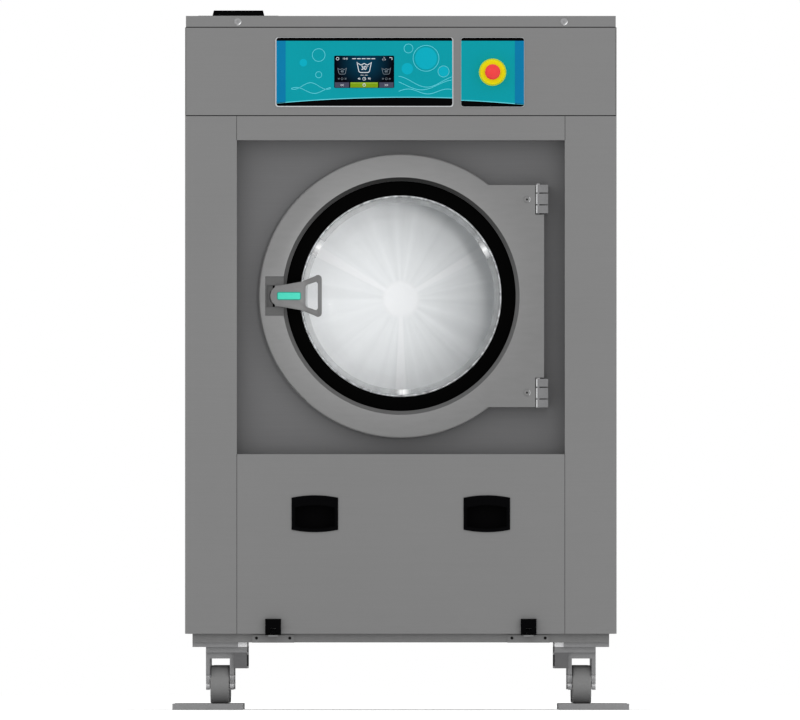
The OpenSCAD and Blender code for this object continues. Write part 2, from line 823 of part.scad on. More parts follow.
module damper_cylinders() {
    color([0.12, 0.12, 0.12]) both_sides() difference() {
        union() {
            rod_z(susp_x, damper_d, base_z1, base_z1 + cylinder_h, damper_r);
            rod_z(susp_x, damper_d, base_z1, base_z1 + 5, damper_r + 8);
        }
        rod_z(susp_x, damper_d, base_z1 + 7, base_z1 + cylinder_h - 7, piston_r + gap);
        rod_z(susp_x, damper_d, base_z1 + cylinder_h - 8, base_z1 + cylinder_h + cut, rod_r + run);
    }
}

module damper_rods() {
    piston_z = base_z1 + 38;
    color("silver") both_sides() {
        rod_z(susp_x, damper_d, piston_z, beam_z0, rod_r);
        rod_z(susp_x, damper_d, piston_z, piston_z + 12, piston_r);
        rod_z(susp_x, damper_d, beam_z0 - 6, beam_z0, rod_r + 10);
    }
}

module cradle_beams() {
    wall = 4;
    half = 30;
    color("dimgray") both_sides() difference() {
        union() {
            box(susp_x - half, susp_x + half, 100, 670, beam_z0, beam_z1);
            for (d = spring_d) rod_z(susp_x, d, beam_z0 - seat_h, beam_z0 + cut, seat_r);
        }
        box(susp_x - half + wall, susp_x + half + cut, 99, 671, beam_z0 + wall, beam_z1 - wall);
    }
}

// Plates that the tub rests in; the rear one also carries the motor
module cradle_saddles() {
    inner = susp_x - 30;
    outer = susp_x + 16;
    arm_z = drum_z - 156;
    rest_r = tub_r + tub_t + gap;
    motor_half = motor_r + 27;
    color("dimgray") for (rear = [0, 1]) front_view(rear ? saddle_d1 : saddle_d0,
        (rear ? saddle_d1 : saddle_d0) + saddle_t) difference() {
            union() {
                translate([-inner, beam_z0]) square([2 * inner, arm_z - beam_z0]);
                translate([-outer, beam_z1]) square([2 * outer, arm_z - beam_z1]);
                if (rear) translate([-motor_half, motor_z - motor_half])
                    square([2 * motor_half, motor_half + motor_drop - beam_drop + beam_h]);
            }
            translate([0, drum_z]) circle(rest_r, $fn = fine);
            for (s = [-1, 1]) translate([s * 200, beam_z0 + 40]) circle(24);
        }
}

module counterweight() {
    half = 250;
    deep = 44;
    color([0.25, 0.25, 0.27]) difference() {
        front_view(saddle_d0 - deep, saddle_d0) difference() {
            translate([-half, beam_z0 - 55]) square([2 * half, 150]);
            translate([0, drum_z]) circle(tub_r + tub_t + 2, $fn = fine);
        }
        for (s = [-1, 1]) rod_y(s * 200, beam_z0 + 40, 0, saddle_d0 - deep + 12, 18);
    }
}

// Tub

drain_spigot_z = drum_z - sqrt(pow(tub_r + tub_t, 2) - pow(drain_x + spigot, 2)) - 18;
fill_spigot_z = hopper_z0 - 66;

module tub_wall() {
    r = tub_r + tub_t;
    color("lightgray") difference() {
        union() {
            turned(0, drum_z) translate([0, tub_d0]) square([r, tub_d1 - tub_d0]);
            rod_z(drain_x, drain_d, drain_spigot_z, drum_z - 200, spigot);
            rod_z(fill_x, fill_d, drum_z + 150, fill_spigot_z, fill_r);
        }
        turned(0, drum_z) translate([0, tub_d0 - cut]) square([tub_r, tub_d1 - tub_d0 + 2 * cut]);
        rod_z(drain_x, drain_d, drain_spigot_z - cut, drum_z - 200, spigot - 3);
        rod_z(fill_x, fill_d, drum_z + 150, fill_spigot_z + cut, fill_r - 3);
    }
}

module tub_front_plate() {
    half = tub_r + tub_t + 3;
    collar_t = 6;
    color("lightgray") difference() {
        union() {
            translate([0, 0, drum_z]) front_view(plate_in, tub_d0) round_rect(2 * half, 2 * half, 20);
            rod_y(0, drum_z, collar_in, tub_d0, mouth_r + collar_t, $fn = fine);
        }
        rod_y(0, drum_z, collar_in - cut, tub_d0 + cut, mouth_r, $fn = fine);
    }
}

module tub_back() {
    r = tub_r + tub_t;
    rib = 25;
    color("lightgray") difference() {
        union() {
            rod_y(0, drum_z, tub_d1, housing_d0, r, $fn = fine);
            for (s = [-1, 1]) box(-240, 240, housing_d0 - cut, housing_d0 + rib,
                drum_z + s * 190 - 20, drum_z + s * 190 + 20);
        }
        rod_y(0, drum_z, tub_d1 - cut, housing_d0 + cut, shaft_r + 8);
        for (s = [-1, 1]) box(-236, 236, housing_d0, housing_d0 + rib - 4,
            drum_z + s * 190 - 16, drum_z + s * 190 + 16);
    }
}

bearing_r = 2 * shaft_r - 5;
bearing_w = 20;
bearing_d = [housing_d0 + 8, housing_d1 - 8 - bearing_w];

module bearing_housing() {
    flange_r = 130;
    neck_r = bearing_r + 15;
    color("slategray") difference() {
        union() {
            turned(0, drum_z) polygon([[0, housing_d0], [flange_r, housing_d0], [flange_r, housing_d0 + 14],
                [neck_r + 12, housing_d0 + 22], [neck_r, housing_d1 - 30], [neck_r, housing_d1],
                [0, housing_d1]]);
            for (a = [0 : 60 : 300]) around(a + 30) translate([0, 0, -5]) top_view(0, 10)
                polygon([[neck_r - 10, housing_d0 + 5], [flange_r - 6, housing_d0 + 5],
                    [flange_r - 6, housing_d0 + 20], [neck_r - 10, housing_d1 - 20]]);
        }
        turned(0, drum_z) {
            translate([0, housing_d0 - cut]) square([shaft_r + 10, housing_d1 - housing_d0 + 2 * cut]);
            translate([0, housing_d0 - cut]) square([bearing_r, 9 + bearing_w]);
            translate([0, bearing_d[1]]) square([bearing_r, 9 + bearing_w]);
        }
    }
}

module bearings() {
    color("silver") for (d = bearing_d) turned(0, drum_z) difference() {
        translate([0, d]) square([bearing_r, bearing_w]);
        translate([0, d - cut]) square([shaft_r + run, bearing_w + 2 * cut]);
        translate([(bearing_r + shaft_r) / 2, d]) circle(3);
        translate([(bearing_r + shaft_r) / 2, d + bearing_w]) circle(3);
    }
}

// Drive

flange_d = saddle_d1 + saddle_t;
motor_d0 = flange_d + 12;
motor_d1 = belt_d - 48;
motor_shaft_r = 14;

module motor_housing() {
    fins = 28;
    fin_w = 3;
    body_r = motor_r - 12;
    plate_w = 2 * motor_r + 26;
    color([0.2, 0.3, 0.4]) difference() {
        union() {
            translate([0, 0, motor_z]) front_view(flange_d, motor_d0) round_rect(plate_w, plate_w, 18);
            turned(0, motor_z) {
                polygon([[0, motor_d0 - cut], [motor_r, motor_d0 - cut], [motor_r, motor_d0 + 16],
                    [body_r, motor_d0 + 24], [0, motor_d0 + 24]]);
                polygon([[0, motor_d1 - 24], [body_r, motor_d1 - 24], [motor_r, motor_d1 - 16],
                    [motor_r - 6, motor_d1 - 4], [motor_r - 30, motor_d1], [0, motor_d1]]);
            }
            translate([0, 0, motor_z]) front_view(motor_d0 + 10, motor_d1 - 10) {
                circle(body_r);
                for (k = [0 : fins - 1]) rotate(360 * k / fins) translate([body_r - 3, -fin_w / 2])
                    square([motor_r - body_r + 1, fin_w]);
            }
            box(motor_r - 25, motor_r + 26, motor_d0 + 60, motor_d0 + 130, motor_z - 34, motor_z + 34);
        }
        rod_y(0, motor_z, motor_d1 - 50, motor_d1 + cut, motor_shaft_r + run);
        rod_y(0, drum_z, flange_d - cut, motor_d0 + cut, tub_r + tub_t + gap, $fn = fine);
    }
}

// Grooves of a ribbed belt, cut in a pulley's rim
module grooves(r, d0, count) {
    pitch = 5;
    deep = 3;
    for (k = [0 : count - 1])
        polygon([[r + cut, d0 + k * pitch], [r + cut, d0 + (k + 1) * pitch - 1],
            [r - deep, d0 + (k + 0.5) * pitch - 0.5]]);
}

pulley_half = belt_w / 2 + 4;
groove_count = 5;

module drum_pulley() {
    rim = 9;
    hub_r = shaft_r + 22;
    color("dimgray") difference() {
        union() {
            turned(0, drum_z) {
                translate([pulley_r - rim, belt_d - pulley_half]) square([rim, 2 * pulley_half]);
                translate([0, belt_d - 20]) square([hub_r, 38]);
            }
            for (a = [0 : 60 : 300]) around(a) front_view(belt_d - 6, belt_d + 6)
                polygon([[hub_r - 6, -20], [pulley_r - rim + 2, -12], [pulley_r - rim + 2, 12],
                    [hub_r - 6, 20]]);
        }
        rod_y(0, drum_z, belt_d - 50, belt_d + 50, shaft_r);
        turned(0, drum_z) grooves(pulley_r, belt_d - 12, groove_count);
    }
}

module motor_pulley() {
    color("dimgray") turned(0, motor_z) {
        difference() {
            translate([0, belt_d - pulley_half]) square([motor_pulley_r, 2 * pulley_half]);
            grooves(motor_pulley_r, belt_d - 12, groove_count);
        }
        translate([0, motor_d1 - 48]) square([motor_shaft_r, belt_d - motor_d1 + 48]);
    }
}

// Outline of a band round both pulleys, at a distance from their rims
module band_outline(away)
    hull() {
        circle(pulley_r + away, $fn = fine);
        translate([0, -motor_drop]) circle(motor_pulley_r + away, $fn = fine);
    }

module drive_belt()
    color([0.08, 0.08, 0.08]) at_drum() front_view(belt_d - belt_w / 2, belt_d + belt_w / 2) difference() {
        band_outline(gap + belt_t);
        band_outline(gap);
    }

// Drum

module drum_wall() {
    r = drum_r + drum_t;
    lip_r = 3;
    rib_h = 5;
    boss_r = 36;
    color("silver") {
        turned(0, drum_z) {
            difference() {
                translate([0, drum_d0]) square([r, drum_len]);
                translate([0, drum_d0 + drum_t]) square([drum_r, drum_len - 2 * drum_t - 1.5]);
                translate([0, drum_d0 - cut]) square([mouth_r, 10]);
            }
            translate([mouth_r + lip_r, drum_d0 - lip_r + cut]) circle(lip_r);
            polygon([[0, drum_d1 - drum_t - 9], [boss_r - 5, drum_d1 - drum_t - 9],
                [boss_r, drum_d1 - drum_t], [0, drum_d1 - drum_t]]);
        }
        for (a = [30, 150, 270]) around(a) front_view(drum_d1 - drum_t - 1 - rib_h, drum_d1 - drum_t)
            polygon([[boss_r - 10, -3], [drum_r - 40, -14.5], [drum_r - 40, 14.5], [boss_r - 10, 3]]);
    }
}

lifter_h = 66;

// Three lifters that carry the laundry round, hollow, with a rounded crest
module drum_lifters() {
    foot = 46;
    crest = 15;
    wall = 2.5;
    d0 = drum_d0 + 30;
    d1 = drum_d1 - 40;
    crest_x = drum_r - lifter_h + crest;
    inner_r = drum_r - lifter_h;
    color("lightgray") for (a = [90, 210, 330]) around(a) difference() {
        intersection() {
            front_view(d0, d1) difference() {
                union() {
                    polygon([[drum_r, -foot], [crest_x, -crest], [crest_x, crest], [drum_r, foot]]);
                    translate([crest_x, 0]) circle(crest);
                }
                difference() {
                    translate([drum_r, 0]) square(4 * foot, center = true);
                    circle(drum_r - 0.2, $fn = fine);
                }
            }
            translate([0, 0, -foot]) top_view(0, 2 * foot)
                polygon([[drum_r, d0], [inner_r, d0 + 30], [inner_r, d1 - 30], [drum_r, d1]]);
        }
        intersection() {
            front_view(d0, d1) polygon([[drum_r + cut, -foot + 2 * wall], [crest_x, -crest + wall],
                [crest_x, crest - wall], [drum_r + cut, foot - 2 * wall]]);
            translate([0, 0, -foot]) top_view(0, 2 * foot) polygon([[drum_r + cut, d0 + 6],
                [inner_r + wall, d0 + 34], [inner_r + wall, d1 - 34], [drum_r + cut, d1 - 6]]);
        }
    }
}

// The cross behind the drum: three tapered arms with pockets, a hub and the shaft
module drum_spider() {
    hub_r = 62;
    root = 34;
    tip = 18;
    reach = drum_r - 10;
    web = 6;
    d0 = drum_d1;
    shaft_end = belt_d + 24;
    color("slategray") {
        turned(0, drum_z) {
            polygon([[0, d0], [hub_r, d0], [hub_r, d0 + spider_t - 6], [hub_r - 14, d0 + spider_t],
                [0, d0 + spider_t]]);
            translate([0, d0]) square([shaft_r, shaft_end - d0]);
            translate([0, d0]) square([shaft_r + 5, tub_d1 - d0 + 2]);
        }
        for (a = [30, 150, 270]) around(a) {
            difference() {
                intersection() {
                    front_view(d0, d0 + spider_t)
                        polygon([[40, -root], [reach, -tip], [reach, tip], [40, root]]);
                    translate([0, 0, -root]) top_view(0, 2 * root)
                        polygon([[40, d0], [reach, d0], [reach, d0 + 13], [80, d0 + spider_t],
                            [40, d0 + spider_t]]);
                }
                for (s = [-1, 1]) front_view(d0 + web, d0 + spider_t + cut)
                    polygon([[hub_r + 12, s * 4], [reach - 24, s * 3], [reach - 24, s * (tip - 5)],
                        [hub_r + 12, s * (root - 8)]]);
            }
            box(reach - 22, reach - 1, d0, d0 + web, -28, 28);
        }
    }
}

// Door

skin_t = 4;
tab_wall = 6;
tab_x = hinge_x + 10.4;
hinge_half = 26;
leaf_half = 9.6;
knuckle_gap = 2.2;
eye_r = 4.6;
hinge_d = door_in - 3 + eye_r;
hinge_face = hinge_d - eye_r + 0.4;
hinge_edge = hinge_x + 17.8;
notch_x = hinge_x - eye_r - 1;
notch_half = hinge_half + 2.5;

// Hinge side of the door, between the ring and the pin
module tab_outline() {
    difference() {
        translate([120, -tab_h]) square([tab_x - 120, 2 * tab_h]);
        circle(ring_in_r + 8, $fn = fine);
        for (s = [-1, 1]) translate([notch_x, s * hinge_z - notch_half]) square([60, 2 * notch_half]);
        for (s = [-1, 1]) translate([notch_x, s > 0 ? hinge_z : -hinge_z - 60]) square([60, 60]);
    }
}

module door_ring() {
    lip = 7;
    edge_r = 4;
    wall = tab_wall;
    free = hinge_z - notch_half;
    color("gray") difference() {
        union() {
            turned(0, drum_z) difference() {
                union() {
                    polygon([[ring_in_r, door_in + 6], [ring_in_r + lip, door_in], [door_r - edge_r, door_in],
                        [door_r - edge_r, door_back], [ring_in_r, door_back]]);
                    translate([door_r - edge_r - cut, door_in + edge_r])
                        square([edge_r + cut, door_back - door_in - edge_r]);
                    translate([door_r - edge_r, door_in + edge_r]) circle(edge_r);
                }
                translate([ring_in_r + 12, door_in + 9]) square([door_r - ring_in_r - 18, door_t]);
            }
            at_drum() {
                front_view(door_in, door_in + skin_t) tab_outline();
                for (s = [-1, 1]) {
                    box(165, notch_x - 4, door_in, door_back - 4, s * (tab_h - wall / 2) - wall / 2,
                        s * (tab_h - wall / 2) + wall / 2);
                    box(222, tab_x, door_in, door_back - 4, s * (free - wall / 2) - wall / 2,
                        s * (free - wall / 2) + wall / 2);
                }
                box(tab_x - wall, tab_x, door_in, door_back - 4, -free, free);
            }
        }
        at_drum() box(-bracket_x0, -bracket_x1, 0, 60, -bracket_half, bracket_half);
    }
}

module door_gasket() {
    r0 = glass_r + 0.1;
    r1 = ring_in_r - 0.2;
    back = collar_in - gap;
    color([0.03, 0.03, 0.03]) turned(0, drum_z)
        polygon([[r0, door_in + 10], [r0 + 3, door_in + 7], [r1 - 4, door_in + 7], [r1, door_in + 9],
            [r1, back - 6], [mouth_r + 8, back], [mouth_r - 2, back], [mouth_r - 5, back - 6],
            [r0, back - 10]]);
}

module glass_rim() {
    rim_r = 2;
    color("silver") turned(0, drum_z) translate([glass_r - rim_r, glass_in - 0.1 - rim_r]) circle(rim_r);
}

glass_in = door_in + 11.8;

module door_glass() {
    d0 = glass_in;
    flange_w = 16;
    taper = 24;
    round_r = 20;
    r1 = glass_r - flange_w + 8;
    r2 = r1 - taper;
    d1 = d0 + bowl_deep;
    color([0.7, 0.8, 0.85, 0.4]) turned(0, drum_z) difference() {
        union() {
            translate([0, d0]) square([glass_r, glass_t + 1]);
            polygon([[0, d0], [r1, d0], [r2, d1 - round_r], [r2 - round_r, d1], [0, d1]]);
            translate([r2 - round_r, d1 - round_r]) circle(round_r);
        }
        polygon([[0, d0 - cut], [r1 - glass_t, d0 - cut], [r2 - glass_t, d1 - round_r],
            [r2 - round_r, d1 - glass_t], [0, d1 - glass_t]]);
        translate([r2 - round_r, d1 - round_r]) circle(round_r - glass_t);
    }
}

// The door's half of each hinge: a plate behind the skin with a knuckle and a cover to its right
module door_hinge_leaves() {
    leaf_t = 6;
    leaf_x0 = 212;
    plate_half = tab_h - tab_wall - hinge_z - gap;
    leaf_d0 = door_in + skin_t;
    color("silver") at_drum() for (s = [-1, 1]) translate([0, 0, s * hinge_z]) difference() {
        union() {
            box(leaf_x0, notch_x - 4, leaf_d0, leaf_d0 + leaf_t, -plate_half, plate_half);
            box(leaf_x0, hinge_x, leaf_d0, leaf_d0 + leaf_t, -leaf_half, leaf_half);
            box(hinge_x, hinge_edge, hinge_face, leaf_d0 + 2, -leaf_half, leaf_half);
            rod_z(hinge_x, hinge_d, -leaf_half, leaf_half, eye_r);
        }
        rod_z(hinge_x, hinge_d, -leaf_half - cut, leaf_half + cut, hinge_pin_r + run);
    }
}

// The tub's half: two knuckles on a spine that the door's cover turns in front of
module door_hinge_blocks() {
    mid = leaf_half + knuckle_gap;
    spine_d = hinge_d + norm([hinge_edge - hinge_x, eye_r]) + 2;
    color("darkgray") at_drum() for (s = [-1, 1]) translate([0, 0, s * hinge_z]) difference() {
        union() {
            box(hinge_x, hinge_edge, hinge_face, plate_in, -hinge_half, hinge_half);
            rod_z(hinge_x, hinge_d, -hinge_half, hinge_half, eye_r);
        }
        box(hinge_x - 2 * eye_r, hinge_edge + cut, 0, spine_d, -mid, mid);
        rod_z(hinge_x, hinge_d, -hinge_half - cut, hinge_half + cut, hinge_pin_r);
    }
}

module door_hinge_pins()
    color("silver") at_drum() for (s = [-1, 1]) translate([0, 0, s * hinge_z]) {
        rod_z(hinge_x, hinge_d, -hinge_half - 0.5, hinge_half + 2, hinge_pin_r);
        rod_z(hinge_x, hinge_d, hinge_half, hinge_half + 2, hinge_pin_r + 1.6);
    }

// Door handle

bracket_x0 = 247.6;
bracket_x1 = 213.5;
bracket_half = 36;
pivot_d = door_in + 8;
handle_d1 = door_in - 6;
lug_half = 19.2;

// The pocket that the handle turns in: a recess, slots for the lug and the hook, and the pivot's bores
module handle_bracket() {
    half = bracket_half - 0.2;
    slot_half = handle_r + 0.4;
    slot_x1 = gap + cut - bracket_x1;
    color([0.35, 0.35, 0.35]) at_drum() difference() {
        box(-bracket_x0 + 0.2, -bracket_x1 - 0.2, door_in + 1, door_back - 2, -half, half);
        box(-bracket_x0 + 2.4, slot_x1, door_in, door_in + 6, -slot_half, slot_half);
        box(-pivot_x - 12, slot_x1, door_in, door_back, -slot_half, slot_half);
        box(-pivot_x - 16.5, slot_x1, door_in, door_back, -8.6, 8.6);
        rod_z(-pivot_x, pivot_d, -half + 3, half - 3, pivot_r + run);
    }
}

// Outline of the handle: a round end that widens into a loop
module handle_outline() {
    loop_x = 144.3;
    loop = loop_h / 2;
    corner = 7;
    head_x = 218.8;
    difference() {
        union() {
            translate([-head_x, 0]) circle(handle_r);
            polygon([[-head_x, handle_r], [-182, 26], [-loop_x - corner, loop], [-loop_x - corner, -loop],
                [-182, -26], [-head_x, -handle_r]]);
            translate([-loop_x - corner, corner - loop]) square([corner, 2 * loop - 2 * corner]);
            for (s = [-1, 1]) translate([-loop_x - corner, s * (loop - corner)]) circle(corner);
        }
        polygon([[-171, 20.5], [-154.6, 26], [-151.6, 23], [-151.6, -23], [-154.6, -26], [-171, -20.5],
            [-174, -17], [-174, 17]]);
    }
}

module door_handle() {
    z_pin = bracket_half - 3.6;
    lug_r = 8;
    color("darkgray") at_drum() {
        front_view(handle_d1 - handle_t, handle_d1) handle_outline();
        rod_z(-pivot_x, pivot_d, -lug_half, lug_half, lug_r);
        box(-pivot_x - lug_r, -pivot_x + lug_r, handle_d1 - cut, pivot_d, -lug_half, lug_half);
        rod_z(-pivot_x, pivot_d, -z_pin, z_pin, pivot_r);
        translate([-pivot_x, 0, -8]) top_view(0, 16) polygon([[-7.5, pivot_d], [1, pivot_d + 6],
            [-8, pivot_d + 18], [-8, pivot_d + 30], [-20, pivot_d + 30], [-22, pivot_d + 27],
            [-22, pivot_d + 23], [-15, pivot_d + 23], [-15, pivot_d + 12]]);
    }
}

// The closed lock on the tub's front, with the pocket that the hook enters
module lock_housing() {
    half = 24;
    color([0.2, 0.2, 0.2]) at_drum() difference() {
        box(-256, -206, door_back + 2, plate_in, -half, half);
        box(-246.5, -208.5, door_back, plate_in - 1.5, -11, 11);
    }
}

base_side_rails();
base_cross_rails();
side_panel_left();
side_panel_right();
rear_panel();
top_lid();
control_fascia();
front_bridge();
display_panel();
touch_screen();
estop_panel();
estop_collar();
estop_stem();
estop_head();
soap_box();
soap_lid();
hinge_brackets();
service_panel();
panel_pulls();
panel_hinge_blocks();
caster_forks();
axle_pins();
tie_rails();
floor_plates();
wheel_front_left();
wheel_front_right();
wheel_rear_left();
wheel_rear_right();
inlet_valves();
drain_valve();
damper_cylinders();
damper_rods();
springs();
fill_bellows();
drain_bellows();
tub_wall();
tub_back();
tub_front_plate();
bearing_housing();
bearings();
cradle_saddles();
cradle_beams();
counterweight();
motor_housing();
motor_pulley();
drive_belt();
drum_wall();
drum_lifters();
drum_spider();
drum_pulley();
door_ring();
door_gasket();
glass_rim();
door_glass();
door_hinge_leaves();
door_hinge_blocks();
door_hinge_pins();
handle_bracket();
door_handle();
lock_housing();
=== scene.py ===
import math

import bpy
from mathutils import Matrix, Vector


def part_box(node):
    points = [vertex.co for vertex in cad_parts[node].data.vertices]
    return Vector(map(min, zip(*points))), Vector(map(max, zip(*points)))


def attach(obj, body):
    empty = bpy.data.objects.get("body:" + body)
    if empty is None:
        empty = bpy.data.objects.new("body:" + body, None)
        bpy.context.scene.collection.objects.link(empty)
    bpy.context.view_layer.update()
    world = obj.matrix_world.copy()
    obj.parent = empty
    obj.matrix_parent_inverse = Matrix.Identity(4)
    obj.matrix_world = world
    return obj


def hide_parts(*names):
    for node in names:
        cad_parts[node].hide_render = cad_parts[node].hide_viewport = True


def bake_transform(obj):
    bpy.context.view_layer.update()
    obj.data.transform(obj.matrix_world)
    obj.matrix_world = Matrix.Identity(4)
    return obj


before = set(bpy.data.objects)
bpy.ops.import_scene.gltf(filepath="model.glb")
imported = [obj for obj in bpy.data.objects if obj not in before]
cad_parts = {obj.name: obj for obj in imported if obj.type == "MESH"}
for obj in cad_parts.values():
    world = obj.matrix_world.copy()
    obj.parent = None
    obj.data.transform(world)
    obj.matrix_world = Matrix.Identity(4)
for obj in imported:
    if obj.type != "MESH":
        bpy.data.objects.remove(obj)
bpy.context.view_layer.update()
bpy.ops.object.select_all(action="DESELECT")


# Camera and studio
# The photograph is taken from the front with a very long lens, far off and low, on white. The floor
# is a pale sheet that keeps the machine's shadow, and soft lamps stand in front, above and behind.
PHOTO_W = 800
PIXEL = 0.001826
FRAME_W = PHOTO_W * PIXEL
VIEW_X = -0.0015
VIEW_Z = 0.6391
SENSOR = 36
CAMERA_BACK = 60
CAMERA_Z = 0.12


def aim(direction):
    """The turn that points a camera or a lamp in a direction."""
    return direction.to_track_quat("-Z", "Y").to_euler()


front_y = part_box("side_panel_left")[0].y
camera_place = Vector((VIEW_X, front_y - CAMERA_BACK, CAMERA_Z))
camera_aim = Vector((VIEW_X, front_y, VIEW_Z)) - camera_place
bpy.ops.object.camera_add(location=camera_place)
camera = bpy.context.object
camera.rotation_euler = aim(camera_aim)
camera.data.sensor_width = SENSOR
camera.data.lens = SENSOR * camera_aim.length / FRAME_W
camera.data.clip_end = 2 * CAMERA_BACK
bpy.context.scene.camera = camera
bpy.context.scene.view_settings.view_transform = "Standard"


def srgb(red, green, blue):
    """A screen colour of 0 to 255 as the linear colour that a shader takes."""
    def linear(value):
        value = value / 255
        return value / 12.92 if value <= 0.04045 else ((value + 0.055) / 1.055) ** 2.4
    return (linear(red), linear(green), linear(blue), 1)


def plain(name, colour, metallic, roughness, specular=0.5):
    """A material with a Principled shader, returned with its tree and shader for a finish."""
    material = bpy.data.materials.new(name)
    material.use_nodes = True
    material.diffuse_color = colour
    shader = material.node_tree.nodes["Principled BSDF"]
    shader.inputs["Base Color"].default_value = colour
    shader.inputs["Metallic"].default_value = metallic
    shader.inputs["Roughness"].default_value = roughness
    shader.inputs["Specular IOR Level"].default_value = specular
    return material, material.node_tree, shader


def reckon(tree, operation, *terms):
    """One step of arithmetic in a shader, on sockets and plain numbers."""
    step = tree.nodes.new("ShaderNodeMath")
    step.operation = operation
    for socket, term in zip(step.inputs, terms):
        if isinstance(term, bpy.types.NodeSocket):
            tree.links.new(term, socket)
        else:
            socket.default_value = term
    return step.outputs[0]


def seen_white(tree):
    """Is 1 for the rays of the camera and those that metal and glass show, and 0 for the light."""
    rays = tree.nodes.new("ShaderNodeLightPath").outputs
    seen = reckon(tree, "MAXIMUM", rays["Is Camera Ray"], rays["Is Transmission Ray"])
    return reckon(tree, "MAXIMUM", seen, rays["Is Glossy Ray"])


STUDIO_LIGHT = 0.8
BACKDROP_LIGHT = 1.0

world = bpy.data.worlds.new("studio_light")
bpy.context.scene.world = world
world.use_nodes = True
tree = world.node_tree
studio = tree.nodes["Background"]
backdrop = tree.nodes.new("ShaderNodeBackground")
for background, strength in ((studio, STUDIO_LIGHT), (backdrop, BACKDROP_LIGHT)):
    background.inputs["Color"].default_value = (1, 1, 1, 1)
    background.inputs["Strength"].default_value = strength
choose = tree.nodes.new("ShaderNodeMixShader")
tree.links.new(seen_white(tree), choose.inputs[0])
tree.links.new(studio.outputs[0], choose.inputs[1])
tree.links.new(backdrop.outputs[0], choose.inputs[2])
tree.links.new(choose.outputs[0], tree.nodes["World Output"].inputs["Surface"])

FLOOR_SIZE = 30
FLOOR_TONE = 0.9
FLOOR_LIFT = 0.4

bpy.ops.mesh.primitive_plane_add(size=FLOOR_SIZE, location=(0, 0, 0))
floor = bpy.context.object
floor.name = "studio_floor"
pale_floor, tree, shader = plain("pale_floor", (FLOOR_TONE, FLOOR_TONE, FLOOR_TONE, 1), 0, 0.9, 0)
shader.inputs["Emission Color"].default_value = (1, 1, 1, 1)
tree.links.new(reckon(tree, "MULTIPLY", seen_white(tree), FLOOR_LIFT),
               shader.inputs["Emission Strength"])
floor.data.materials.append(pale_floor)

# Each lamp: name, place, size and power
LAMPS = [
    ("key_lamp", (-2.0, -3.8, 2.6), 2.6, 12),
    ("fill_lamp", (2.2, -3.8, 1.6), 2.6, 10),
    ("back_lamp", (0.6, 3.6, 2.6), 2.6, 20),
]
LAMP_TARGET = Vector((0, 0, 0.7))
for lamp_name, place, lamp_size, power in LAMPS:
    bpy.ops.object.light_add(type="AREA", location=place)
    lamp = bpy.context.object
    lamp.name = lamp_name
    lamp.data.size = lamp_size
    lamp.data.energy = power
    lamp.rotation_euler = aim(LAMP_TARGET - Vector(place))

# A narrow lamp just right of the camera shines through the door's glass on the back of the drum
DRUM_LAMP_PLACE = Vector((0.30, -4.8, 0.86))
DRUM_LAMP_POWER = 232
DRUM_LAMP_SPREAD = math.radians(6.2)
DRUM_LAMP_R = 0.12
DRUM_LAMP_SHIFT = Vector((-0.04, 0, 0.012))

glass_low, glass_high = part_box("door_glass")
glass_middle = (glass_low + glass_high) / 2
bpy.ops.object.light_add(type="SPOT", location=DRUM_LAMP_PLACE)
drum_lamp = bpy.context.object
drum_lamp.name = "drum_lamp"
drum_lamp.data.energy = DRUM_LAMP_POWER
drum_lamp.data.spot_size = DRUM_LAMP_SPREAD
drum_lamp.data.spot_blend = 1
drum_lamp.data.shadow_soft_size = DRUM_LAMP_R
drum_lamp.rotation_euler = aim(glass_middle + DRUM_LAMP_SHIFT - DRUM_LAMP_PLACE)


# Brushed cabinet sheets
# Folded sheet steel, 1.5 mm thick, ground to a fine grain that runs across the machine. The folds
# have small round edges, and the panels meet in narrow seams.
WELD = 0.00001
SMOOTH_ANGLE = math.radians(32)
FLAT_ANGLE = math.radians(0.5)
EDGE_ANGLE = math.radians(40)
GRAIN_H = 0.0005


def finish(piece, material, edge=0):
    """Gives a CAD shape its finish: round faces smooth and, if asked for, edges broken."""
    piece.data.materials.clear()
    piece.data.materials.append(material)
    piece.data.shade_smooth()
    piece.modifiers.new("joined", "WELD").merge_threshold = WELD
    if edge:
        flat = piece.modifiers.new("flat", "DECIMATE")
        flat.decimate_type = "DISSOLVE"
        flat.angle_limit = FLAT_ANGLE
        broken = piece.modifiers.new("broken", "BEVEL")
        broken.width = edge
        broken.segments = 2
        broken.angle_limit = EDGE_ANGLE
    piece.modifiers.new("crisp", "EDGE_SPLIT").split_angle = SMOOTH_ANGLE


def dress(material, *names, edge=0):
    """Gives CAD parts their finish, by their names."""
    for name in names:
        finish(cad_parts[name], material, edge)


def tint(piece, material, test):
    """Gives the faces of a piece that pass a test, by middle and normal, a finish of their own."""
    piece.data.materials.append(material)
    for face in piece.data.polygons:
        if test(face.center, face.normal):
            face.material_index = len(piece.data.materials) - 1


def paint(name, material, test):
    """Gives the faces of a CAD part that pass a test a finish of their own."""
    tint(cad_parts[name], material, test)


